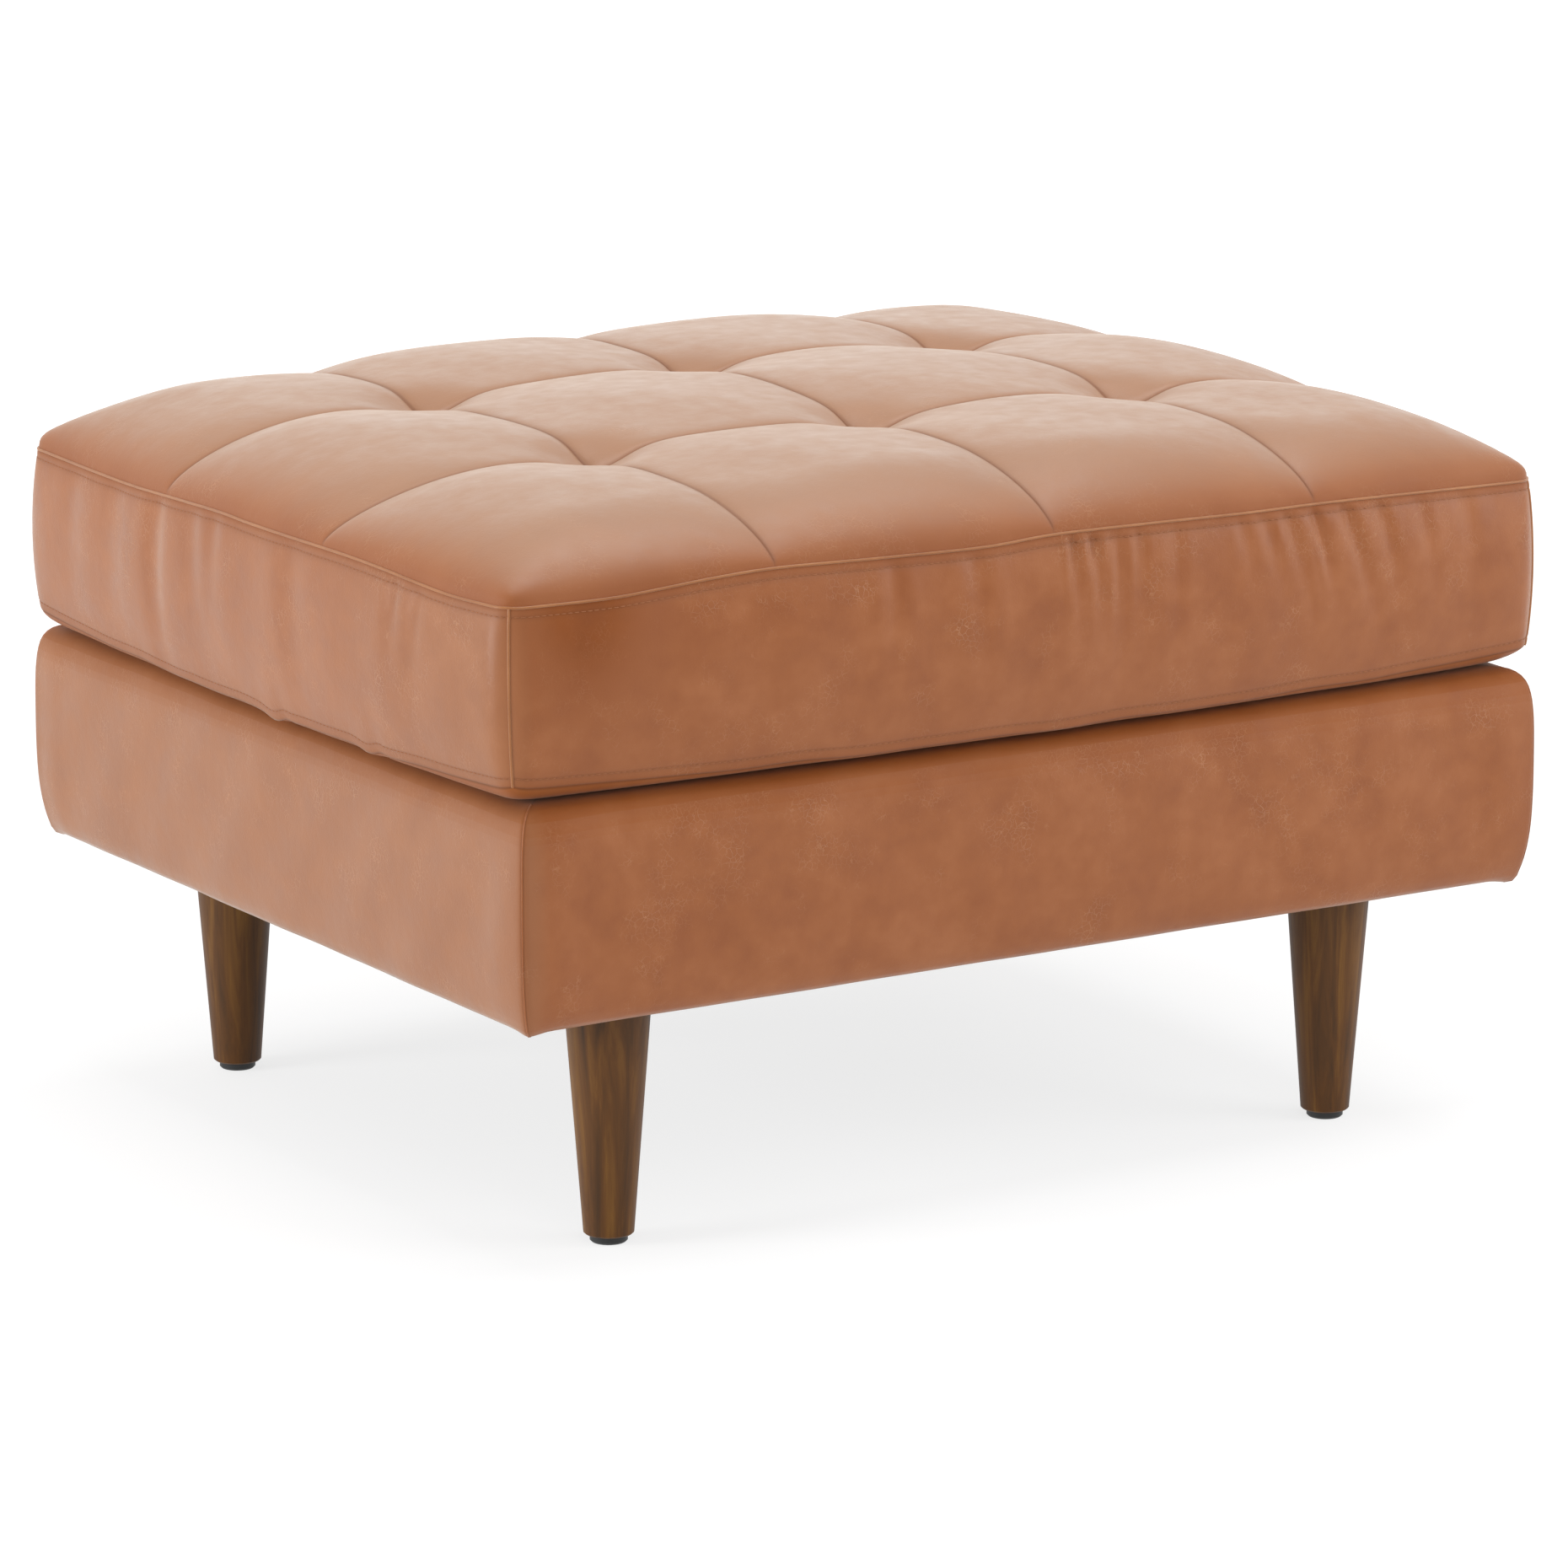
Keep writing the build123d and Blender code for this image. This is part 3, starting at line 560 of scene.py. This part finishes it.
def outward(x, y, reach):
    """Directions out of a ring of plan points, square to the line between its neighbours."""
    ahead = np.stack([np.roll(values, -reach) - np.roll(values, reach) for values in (x, y)])
    ahead /= np.linalg.norm(ahead, axis=0)
    return np.stack([ahead[1], -ahead[0]])


def corner_numbers(loop_s, loop_t):
    """The numbers of a loop's four corner points."""
    return [int(np.argmin(abs(loop_s - s) + abs(loop_t - t)))
            for s, t in ((-1, -1), (1, -1), (1, 1), (-1, 1))]


rim_loop = once_round(len(s_lines), len(t_lines))
loop_s = np.array([s_lines[i] for i, j in rim_loop])
loop_t = np.array([t_lines[j] for i, j in rim_loop])
loop_normal = outward(*outline(loop_s, loop_t, SEAM_HALF, TOP_BOWS, CORNER_RADIUS), 2)
print("seam loop of", len(rim_loop), "points")

# %% Points and quads of the cushion cover
DECK_HEIGHT = 302.4                 # the flat of the bottom panel, on the frame
DARK_PATCH = (-332, 46)             # the front's darker patch: its middle and half width, in mm
MARKS = ("bend", "crease", "worn", "rubbed")


def joined(rows):
    """Points in mm and marks of rows of x, y, z and the four marks; one value may serve a row."""
    points = np.concatenate([np.stack(row[:3], axis=-1).reshape(-1, 3) for row in rows])
    return points, {mark: np.concatenate([np.broadcast_to(row[n], row[0].shape).ravel()
                                          for row in rows]) for n, mark in enumerate(MARKS, 3)}


def bottom_height(s, t):
    """The bottom panel curls from the lower seam to the flat that lies on the frame."""
    end_gap, side_gap = rim_gaps(s, t, BOTTOM_HALF)
    curl = 5.5 + (3.0 + 2.5 * s) * np.exp(-np.maximum(end_gap, side_gap) / 40)
    flat = (1 - np.exp(-end_gap / curl)) * (1 - np.exp(-side_gap / curl))
    return lower_seam_height(s, t) * (1 - flat) + DECK_HEIGHT * flat


def cushion_skin():
    """Points in mm, their marks, quads, and each quad's depth in the gap."""
    s, t = np.meshgrid(s_lines, t_lines, indexing="ij")
    x, y = outline(s, t, SEAM_HALF, TOP_BOWS, CORNER_RADIUS)
    z, crease, rim = top_height(x, y, s, t)
    # the top panel: painted shade on its roll beside the seam, and a painted sheen that makes it
    # paler away from the rim
    rows = [(x, y, z, 0.55 * np.exp(-rim / 12), crease, 0.5 * np.exp(-rim / 30),
             0.85 * (1 - np.exp(-rim / 18)))]
    quads = grid_quads(*s.shape)
    above = [i * len(t_lines) + j for i, j in rim_loop]
    total = s.size
    for w in w_rows[1:]:
        x, y, z = boxing(loop_s, loop_t, np.full(len(rim_loop), w), loop_normal)
        # painted shade beside both seams, and the darker patch on the front
        deep = np.exp(-((x - DARK_PATCH[0]) / DARK_PATCH[1]) ** 2 - (2 * w) ** 2) * (y < -300)
        bend = np.maximum(0.7 * math.exp(-18 * min(w, 1 - w)), 1.2 * deep)
        crease = max(0.4 * by_stitches(w).max(), 0.8 * (w == 1))
        worn = 0.45 + 0.5 * np.exp(-2.4 * w) * (0.5 + 0.5 * np.sin(x / 37 + y / 29))
        # painted sheen: the left side is painted a little paler, most beside the front corner
        rubbed = np.clip((-x - 368) / 14, 0, 1) * (0.12 + 0.2 * np.clip((-y - 100) / 200, 0, 1))
        rows.append((x, y, z, bend, crease, worn, rubbed))
        below = range(total, total + len(rim_loop))
        quads += band(above, below)
        above = below
        total += len(rim_loop)
    # the bottom panel's rim is the lower seam, and its inner points come last
    inner = np.s_[1:-1, 1:-1]
    numbers = np.zeros(s.shape, dtype=int)
    numbers[tuple(np.transpose(rim_loop))] = above
    numbers[inner] = total + np.arange(numbers[inner].size).reshape(numbers[inner].shape)
    x, y = outline(s, t, LOWER_HALF, LOWER_BOWS, CORNER_RADIUS)
    # painted shade on the bottom panel, deeper away from its rim, where it lies in the gap on the
    # frame
    bend = 0.25 + 0.65 * np.minimum(np.minimum(*rim_gaps(s, t, BOTTOM_HALF)) / 16, 1)
    rows.append((x[inner], y[inner], bottom_height(s, t)[inner], bend[inner], 0, 0, 0))
    numbers = numbers.ravel().tolist()
    bottom = [[numbers[k] for k in (a, d, c, b)] for a, b, c, d in grid_quads(*s.shape)]
    return *joined(rows), quads + bottom, [0] * len(quads) + [len(gap_hides)] * len(bottom)


def tuck_in(piece, depths):
    """Give each face the leather of its depth in the gap: 0 in the open, 3 tucked away."""
    for hide in gap_hides:
        piece.data.materials.append(hide)
    piece.data.polygons.foreach_set("material_index", np.array(depths, dtype=np.int32))


def new_object(name, data):
    """A new object in the scene, at the origin."""
    made = bpy.data.objects.new(name, data)
    bpy.context.scene.collection.objects.link(made)
    return made


def mesh_piece(name, points, faces, material, marks=()):
    """A smooth-shaded mesh object at the origin, from points in mm, with its points' marks."""
    mesh = bpy.data.meshes.new(name)
    mesh.from_pydata((np.asarray(points) * MM).tolist(), [], faces)
    mesh.materials.append(material)
    mesh.shade_smooth()
    for mark, values in dict(marks).items():
        layer = mesh.attributes.new(mark, "FLOAT", "POINT")
        layer.data.foreach_set("value", np.asarray(values, dtype=np.float32))
    mesh.update()
    return new_object(name, mesh)


points, marks, quads, depths = cushion_skin()
cushion_cover = mesh_piece("cushion_cover", points, quads, cowhide, marks)
tuck_in(cushion_cover, depths)
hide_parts("cushion_top_panel", "cushion_bottom_panel", "cushion_boxing_front",
            "cushion_boxing_back", "cushion_boxing_left", "cushion_boxing_right")
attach(cushion_cover, "cushion")
print("cushion cover", len(points), "points,", len(quads), "quads")

# %% [markdown]
# Inside the cover lie a block of foam, a soft topper that fills the pillows, and a thin layer of
# wadding. Each CAD solid is replaced by a layer that follows the skin from 3 mm inside, so that
# the stuffing ends where the leather does. A layer is two grids joined round their rims.

# %% Layers of stuffing
STUFFING_HALF = (373.5, 302.5)
FOAM_FLOOR, FOAM_TOP = 320.0, 436.0     # heights in mm between which the foam block stays


def closed_layer(name, x, y, low_z, high_z, material):
    """A closed layer between two height grids over the same plan grid."""
    points = [np.stack([x, y, z], axis=-1).reshape(-1, 3) for z in (high_z, low_z)]
    quads = []
    for quad in grid_quads(*x.shape):
        quads += [quad, [x.size + k for k in reversed(quad)]]
    rim = [i * x.shape[1] + j for i, j in once_round(*x.shape)]
    quads += band(rim, [x.size + k for k in rim])
    return mesh_piece(name, np.concatenate(points), quads, material)


fill_s = np.unique(np.concatenate([np.linspace(-1, 1, 61), COLUMNS / TOP_HALF[0]]))
fill_t = np.unique(np.concatenate([np.linspace(-1, 1, 51), ROWS / TOP_HALF[1]]))
fs, ft = np.meshgrid(fill_s, fill_t, indexing="ij")
fx, fy = outline(fs, ft, STUFFING_HALF, LOWER_BOWS, CORNER_RADIUS)
skin_top = top_height(fx, fy, fs, ft)[0]
sewn_gap = np.minimum(nearest(fx, COLUMNS), nearest(fy, ROWS))
topper_top = skin_top - 3.0 - 4.0 * np.exp(-sewn_gap / 12)
core_top = np.minimum(FOAM_TOP, topper_top - 6)
wadding_low = bottom_height(fs, ft) + 2.2
core_low = np.full_like(fx, FOAM_FLOOR)
for name, node, low_z, high_z, material, slot in (
        ("filling_topper", "cushion_topper", core_top + 0.3, topper_top, wadding, "wadding"),
        ("filling_core", "cushion_foam_core", core_low, core_top, foam, "foam"),
        ("filling_wadding", "cushion_wadding", wadding_low, core_low - 0.3, wadding, "wadding")):
    layer = closed_layer(name, fx, fy, low_z, high_z, material)
    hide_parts(node)
    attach(layer, "cushion")
    print(name, "up to", round(float(high_z.max()), 1), "mm")

# %% [markdown]
# The frame is wrapped in four leather panels over thin padding. Each is folded in over the top,
# stapled under the cushion, and folded under at the bottom. In section it is a soft, swollen
# shape, rounder at the top edge than at the bottom, so one section is carried round a rectangle,
# and the leather is given its thickness afterwards. The corners are drawn in a little by their
# seams.

# %% Section of the upholstered frame
BASE_HALF = (372.0, 313.5)
UNDERSIDE = 162.3                   # height of the lower edge, in mm
# set in from the face, and height, both in mm, from the deck round to the underside
SECTION = [(84, 302.0), (60, 302.0), (40, 302.0), (22, 301.9), (10, 301.0), (2.5, 298.4),
           (-2.4, 293.0), (-4.8, 285.0), (-6.0, 275.0), (-6.6, 262.0), (-6.8, 240.0),
           (-6.7, 218.0), (-6.0, 198.0), (-4.4, 182.0), (-2.7, 171.5), (-0.9, 165.5),
           (1.5, 162.2), (5.5, 161.0), (11, 161.4), (20, 162.1), (34, 162.2)]

section = smooth_line(SECTION, 4.5)
print("section of", len(section), "points")

# %% The frame's cover
BASE_CORNER = 5.0
GAP_STEPS = (284, 289, 294)         # heights in mm from which the leather lies deeper in the gap


def base_outline(s, t, inset):
    """Plan place of the frame's outline, set in by a distance, with round corners outside only."""
    radius = max(BASE_CORNER - max(inset, 0) * 0.4, 0.5)
    half = [BASE_HALF[0] - inset, BASE_HALF[1] - inset]
    return outline(s, t, half, (0.0, 0.0, 0.0, 0.0), radius)


def side_lines(half, step):
    """Places from -1 to 1 along a side, closer beside the corners."""
    inner = list(np.linspace(-(half - 14), half - 14, round(2 * half / step)))
    return np.array([gap - half for gap in RIM_GAPS] + inner
                    + [half - gap for gap in reversed(RIM_GAPS)]) / half


base_s, base_t = side_lines(BASE_HALF[0], 6.0), side_lines(BASE_HALF[1], 6.0)
ring_s, ring_t = np.array([(base_s[i], base_t[j])
                           for i, j in once_round(len(base_s), len(base_t))]).T


def base_skin():
    """Points in mm of the cover's outer face, ring after ring, and their marks."""
    on_end = abs(ring_s) >= 1
    end_gap, side_gap = rim_gaps(ring_s, ring_t, BASE_HALF)
    to_corner = np.where(on_end, side_gap, end_gap)
    far = np.where(on_end, ring_t * BASE_HALF[1], ring_s * BASE_HALF[0])
    rows = []
    for inset, height in section:
        x, y = base_outline(ring_s, ring_t, inset)
        out = outward(x, y, 1)
        side = np.clip((8 - inset) / 10, 0, 1)
        pinch = side * (-1.1 * np.exp(-(to_corner / 8) ** 1.4)
                        + 0.9 * np.exp(-((to_corner - 26) / 15) ** 2))
        wave = side * (0.5 * np.sin(far / 34 + 0.7) + 0.35 * np.sin(far / 13 + height / 19))
        wave = wave * np.minimum(to_corner / 25, 1)
        drop = 2.2 * np.exp(-(to_corner / 11) ** 2) * np.exp(-((height - UNDERSIDE) / 7) ** 2)
        draw_in = (-1.2 * np.exp(-(to_corner / 22))
                   * np.exp(-((height - UNDERSIDE) / 12) ** 2) * side)
        off = pinch + wave + draw_in
        # painted shade beside the corner seams, and deepening upwards into the gap under the
        # cushion
        corner_shade = 0.75 * side * np.exp(-to_corner / 7)
        gap_shade = 0.5 * min(max((height - 278) / 18, 0), 1)
        worn = 0.4 + 1.1 * math.exp(-max(296 - height, 0) / 30) * (
            0.55 + 0.45 * np.sin(far / 53 + 0.6) * np.sin(far / 21))
        # marks: painted shade, the corner's sewn line, wear, and a painted sheen that makes the
        # left face paler
        rows.append((x + out[0] * off, y + out[1] * off, height - drop,
                     np.maximum(corner_shade, gap_shade), 0.75 * np.exp(-to_corner ** 2), worn,
                     0.35 * np.clip((-x - 360) / 12, 0, 1)))
    return joined(rows)


base_points, marks = base_skin()
quads = ring_quads(len(section), len(ring_s))
base_cover = mesh_piece("base_cover", base_points, quads, cowhide, marks)
tuck_in(base_cover, [sum(height > step for step in GAP_STEPS)
                     for inset, height in section[:-1] for _ in ring_s])
wall = base_cover.modifiers.new("Leather thickness", "SOLIDIFY")
wall.thickness = 1.8 * MM
wall.offset = -1.0
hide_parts("base_cover_front", "base_cover_back", "base_cover_left",
            "base_cover_right")
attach(base_cover, "base")
print("frame cover", len(base_points), "points")

# %% The padding behind it
pad_rows = [(inset + 3.2, height) for inset, height in section if 168 < height < 292]
pad_ring = pad_rows + [(max(inset, 0) + 7.6, height) for inset, height in reversed(pad_rows)]
blunt = 5.0 * np.exp(-np.hypot(*rim_gaps(ring_s, ring_t, BASE_HALF)) / 12)
pad_points = []
for inset, height in pad_ring:
    x, y = base_outline(ring_s, ring_t, inset)
    pad_points.append(np.stack([x - np.sign(x) * blunt, y - np.sign(y) * blunt,
                                np.full(len(x), height)], axis=-1))
base_padding = mesh_piece("base_padding", np.concatenate(pad_points),
                          ring_quads(len(pad_ring), len(ring_s), closed=True), foam)
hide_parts("base_pad_front", "base_pad_back", "base_pad_left", "base_pad_right")
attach(base_padding, "base")
print("padding ring of", len(pad_ring), "rows")

# %% [markdown]
# Seams repeat the same small shape along a path, which is what Geometry Nodes do well. A path is a
# mesh of edges. One tree carries a round bead along it, for the edge that two sewn layers raise,
# and the other sets stitches on it at an even pitch. Their sizes are inputs, so a seam is tuned in
# one place.

# %% Trees for beads and stitches
def geometry_tree(name, *sizes):
    """A node group with named sizes and a material, its inputs, and the path as a curve."""
    tree = bpy.data.node_groups.new(name, "GeometryNodeTree")
    for label, kind in [("Geometry", "Geometry"), *((size, "Float") for size in sizes),
                        ("Material", "Material")]:
        tree.interface.new_socket(label, in_out="INPUT", socket_type="NodeSocket" + kind)
    tree.interface.new_socket("Geometry", in_out="OUTPUT", socket_type="NodeSocketGeometry")
    given = add(tree, "NodeGroupInput").outputs
    return tree, given, add(tree, "GeometryNodeMeshToCurve", {"Mesh": given["Geometry"]})


def end_tree(tree, shape, material):
    """End a tree as the export needs it: with real geometry that has its material."""
    real = add(tree, "GeometryNodeRealizeInstances", {"Geometry": shape})
    coloured = add(tree, "GeometryNodeSetMaterial", {"Geometry": real, "Material": material})
    add(tree, "NodeGroupOutput", {"Geometry": coloured})


bead_tree, given, path = geometry_tree("Bead along a seam", "Bead radius")
ring = add(bead_tree, "GeometryNodeCurvePrimitiveCircle", {"Radius": given["Bead radius"],
                                                           "Resolution": 8})
tube = add(bead_tree, "GeometryNodeCurveToMesh", {"Curve": path, "Profile Curve": ring,
                                                  "Fill Caps": True})
end_tree(bead_tree, tube, given["Material"])

stitch_tree, given, path = geometry_tree("Stitches along a seam", "Stitch length",
                                         "Thread radius", "Pitch")
spots = add(stitch_tree, "GeometryNodeCurveToPoints", {"Curve": path, "Length": given["Pitch"]},
            mode="LENGTH").outputs
ball = add(stitch_tree, "GeometryNodeMeshUVSphere", {"Segments": 6, "Rings": 5, "Radius": 1.0})
half_length = add(stitch_tree, "ShaderNodeMath", {0: given["Stitch length"], 1: 0.5},
                  operation="MULTIPLY")
size = add(stitch_tree, "ShaderNodeCombineXYZ", {
    "X": given["Thread radius"], "Y": given["Thread radius"], "Z": half_length})
placed = add(stitch_tree, "GeometryNodeInstanceOnPoints", {
    "Points": spots["Points"], "Instance": ball, "Rotation": spots["Rotation"], "Scale": size})
end_tree(stitch_tree, placed, given["Material"])
print("trees:", bead_tree.name, "and", stitch_tree.name)


# %% A helper that runs a tree along paths
def run_along(name, paths, tree, values, body):
    """Run a tree along paths of points in mm; the result is a plain mesh that rides on a body."""
    points, edges = [], []
    for path, closed in paths:
        start = len(points)
        points.extend(np.asarray(path) * MM)
        edges += [(start + k, start + k + 1) for k in range(len(path) - 1)]
        if closed:
            edges.append((start + len(path) - 1, start))
    mesh = bpy.data.meshes.new(name + "_paths")
    mesh.from_pydata([list(map(float, p)) for p in points], edges, [])
    carrier = new_object(name + "_paths", mesh)
    modifier = carrier.modifiers.new("Sewing", "NODES")
    modifier.node_group = tree
    sockets = {item.name: item.identifier for item in tree.interface.items_tree
               if item.in_out == "INPUT"}
    for label, value in values.items():
        modifier[sockets[label]] = value
    depsgraph = bpy.context.evaluated_depsgraph_get()
    made = bpy.data.meshes.new_from_object(carrier.evaluated_get(depsgraph), depsgraph=depsgraph)
    made.name = name
    made.shade_smooth()
    bpy.data.objects.remove(carrier)
    piece = new_object(name, made)
    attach(piece, body)
    print(name, len(made.polygons), "faces")


# %% [markdown]
# The cushion has a raised seam round its top and one down each corner. The seam round its bottom
# is turned flat, so it shows as a line only. A topstitch runs on the boxing, 5 mm from both edges,
# and holds the seam allowance flat. Its thread is nearly the leather's own colour, so it shows
# only as a fine broken line in a shallow groove.

# %% Seams of the cushion
def seam_path(w, lift):
    """A loop on the boxing at the share w of its height, lifted off the leather by lift mm."""
    x, y, z = boxing(loop_s, loop_t, np.full(len(loop_s), w), loop_normal)
    return np.stack([x + loop_normal[0] * lift, y + loop_normal[1] * lift, z], axis=-1)


loops = [seam_path(w, 0.1) for w in w_rows]
corner_paths = [([loop[k] for loop in loops], False) for k in corner_numbers(loop_s, loop_t)]
top_ridge = seam_path(0.0, 0.25)
top_ridge[:, 2] += 0.35
run_along("cushion_seams", [(top_ridge, True)] + corner_paths, bead_tree,
          {"Bead radius": 0.9 * MM, "Material": stretched_hide}, "cushion")
thread = plain_finish("Bonded polyester thread, tan", "#8A5027", "#9A5E31", 2500.0, 0.6)
stitch_loops = [seam_path(w, 0.0) for w in (TOP_STITCH / BOXING_HEIGHT,
                                            1 - LOW_STITCH / BOXING_HEIGHT)]
run_along("cushion_stitches", [(loop, True) for loop in stitch_loops], stitch_tree,
          {"Stitch length": 3.4 * MM, "Thread radius": 0.4 * MM, "Pitch": 4.4 * MM,
           "Material": thread}, "cushion")

# %% [markdown]
# The frame's cover is joined by one seam down each corner. It is the same raised bead, from the
# roll at the top edge to the fold under the bottom.

# %% Seams of the frame's cover
base_rings = base_points.reshape(len(section), len(ring_s), 3)
outer_rows = [n for n, (inset, height) in enumerate(section) if inset < 12]
corner_paths = [(base_rings[outer_rows, k], False) for k in corner_numbers(ring_s, ring_t)]
run_along("base_seams", corner_paths, bead_tree,
          {"Bead radius": 0.55 * MM, "Material": cowhide}, "base")

# %% [markdown]
# Black woven cloth closes the frame below, and a second piece lies on the deck under the cushion.
# Both are flat sheets, stretched and stapled at their edges, that sag a little between them. They
# are thin grids. The lower one has a round hole for each leg.

# %% Deck cloth and dust cover
def cloth_sheet(name, node, height, sag, holes):
    """A stretched sheet in the place of a CAD node, sagging by sag mm, with round holes."""
    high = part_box(node)[1]
    half_x, half_y = high[0] / MM, high[1] / MM
    x, y = np.meshgrid(np.linspace(-half_x, half_x, 75), np.linspace(-half_y, half_y, 61),
                       indexing="ij")
    for hole_x, hole_y, radius in holes:
        gap = np.hypot(x - hole_x, y - hole_y)
        pull = (gap < radius + 6) & (gap > radius - 5)
        scale = np.where(pull, radius / np.maximum(gap, 1), 1)
        x, y = hole_x + (x - hole_x) * scale, hole_y + (y - hole_y) * scale
    z = height - sag * (1 - (x / half_x) ** 4) * (1 - (y / half_y) ** 4)
    kept = []
    for quad in grid_quads(*x.shape):
        centre = (x.flat[quad].mean(), y.flat[quad].mean())
        if all(math.dist(centre, hole[:2]) > hole[2] for hole in holes):
            kept.append(quad)
    points = np.stack([x, y, z], axis=-1).reshape(-1, 3)
    used = sorted({k for quad in kept for k in quad})
    renumber = {k: n for n, k in enumerate(used)}
    piece = mesh_piece(name, points[used], [[renumber[k] for k in quad] for quad in kept],
                       black_cloth)
    thickness = piece.modifiers.new("Cloth thickness", "SOLIDIFY")
    thickness.thickness = 0.5 * MM
    thickness.offset = 0.0
    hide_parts(node)
    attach(piece, "base")


LEG_PLACE = (272.7, 241.9)          # the legs' middles, in mm
LEG_HOLE = 28.6                     # radius of the holes that the legs go through
legs_at = [(x * LEG_PLACE[0], y * LEG_PLACE[1], LEG_HOLE) for x in (-1, 1) for y in (-1, 1)]
cloth_sheet("deck_sheet", "deck_cloth", 301.0, 0.6, [])
cloth_sheet("dust_sheet", "dust_cover", 161.9, 1.5, legs_at)

# %% [markdown]
# The photograph was taken in an all-white studio. The floor is matt white, and for the camera it
# glows a little more, so that it runs into the white background and only the soft shadow is left.
# The white world also shows in the waxed leather, which, with a painted sheen in the leather's
# colour, is why its top looks so pale at a low angle.

# %% Floor and world
def seen_directly(tree):
    """1 for a ray from the camera, off a glossy surface or through a clear one, and 0 otherwise."""
    rays = add(tree, "ShaderNodeLightPath").outputs
    direct = add(tree, "ShaderNodeMath", {0: rays["Is Camera Ray"], 1: rays["Is Glossy Ray"]},
                 operation="MAXIMUM")
    return add(tree, "ShaderNodeMath", {0: direct, 1: rays["Is Transmission Ray"]},
               operation="MAXIMUM")


floor_mesh = bpy.data.meshes.new("studio_floor")
floor_mesh.from_pydata([(-12, -12, 0), (12, -12, 0), (12, 12, 0), (-12, 12, 0)], [], [(0, 1, 2, 3)])
floor_finish = bpy.data.materials.new("Matt white floor")
tree = empty_tree(floor_finish)
paint = add(tree, "ShaderNodeBsdfDiffuse", {"Color": linear("#EDEDED")})
faint = add(tree, "ShaderNodeBsdfDiffuse", {"Color": (0.28, 0.28, 0.28, 1)})
# the glow grows with the distance from the ottoman, so that the shadow near it is kept
where = add(tree, "ShaderNodeTexCoord").outputs["Object"]
far = add(tree, "ShaderNodeVectorMath", {0: where}, operation="LENGTH")
strength = add(tree, "ShaderNodeMapRange", {"Value": far, "From Min": 0.8, "From Max": 2.4,
                                            "To Min": 0.76, "To Max": 0.98})
glow = add(tree, "ShaderNodeEmission", {"Color": (1, 1, 1, 1), "Strength": strength})
lit = add(tree, "ShaderNodeAddShader", {0: faint, 1: glow})
seen = add(tree, "ShaderNodeMixShader", {0: seen_directly(tree), 1: paint, 2: lit})
add(tree, "ShaderNodeOutputMaterial", {"Surface": seen})
floor_mesh.materials.append(floor_finish)
floor = new_object("studio_floor", floor_mesh)

world = bpy.data.worlds.new("White studio")
bpy.context.scene.world = world
tree = empty_tree(world)
soft = add(tree, "ShaderNodeBackground", {"Color": (1, 1, 1, 1), "Strength": 0.62})
white = add(tree, "ShaderNodeBackground", {"Color": (1, 1, 1, 1), "Strength": 1.0})
sky = add(tree, "ShaderNodeMixShader", {0: seen_directly(tree), 1: soft, 2: white})
add(tree, "ShaderNodeOutputWorld", {"Surface": sky})
print("floor and world set")

# %% [markdown]
# Five soft boxes light it. A wide one hangs overhead and whitens the top. A low one at the left
# lights the left face, and its mirror image is the bright strip beside the corner seam. One stands
# near the right front corner, so the front grows lighter to the right and its folds show. A faint
# one beside the camera fills the rest, and a wide one behind is mirrored by the waxed top at a low
# angle.

# %% Lamps
LAMP_AIM = Vector((0, 0, 0.35))


def soft_box(name, place, size, watts):
    """A square area lamp that looks at the ottoman."""
    data = bpy.data.lights.new(name, "AREA")
    data.shape = "SQUARE"
    data.size = size
    data.energy = watts
    lamp = new_object(name, data)
    lamp.location = place
    lamp.rotation_euler = (LAMP_AIM - Vector(place)).to_track_quat("-Z", "Y").to_euler()
    return lamp


lamps = [soft_box("overhead_box", (0.3, 0.0, 3.2), 2.6, 57),
         soft_box("low_left_box", (-3.2, 0.6, 0.9), 1.2, 51),
         soft_box("near_right_box", (1.8, -1.7, 1.2), 1.4, 18),
         soft_box("camera_side_box", (-1.2, -4.2, 2.4), 2.2, 26),
         soft_box("back_box", (2.8, 4.4, 1.3), 4.0, 5)]
print("lamps", [lamp.name for lamp in lamps])

# %% [markdown]
# The camera stands where the photographer's did, found from the corners, legs and seams in the
# photo: 5.2 m away, 1.43 m high, about 32 degrees round to the left. A long lens keeps the lines
# nearly parallel.

# %% Camera
TILT_DOWN, TURN = 13.234, 32.056    # in degrees
camera_data = bpy.data.cameras.new("photo_camera")
camera_data.sensor_fit = "HORIZONTAL"
camera_data.sensor_width = 36.0
camera_data.lens = 186.85
camera = new_object("photo_camera", camera_data)
camera.location = (-2.7521, -4.4057, 1.4299)
camera.rotation_euler = (math.radians(90 - TILT_DOWN), 0.0, math.radians(-TURN))
bpy.context.scene.camera = camera
bpy.context.scene.view_settings.view_transform = "Standard"
print("camera at", tuple(round(v, 3) for v in camera.location))
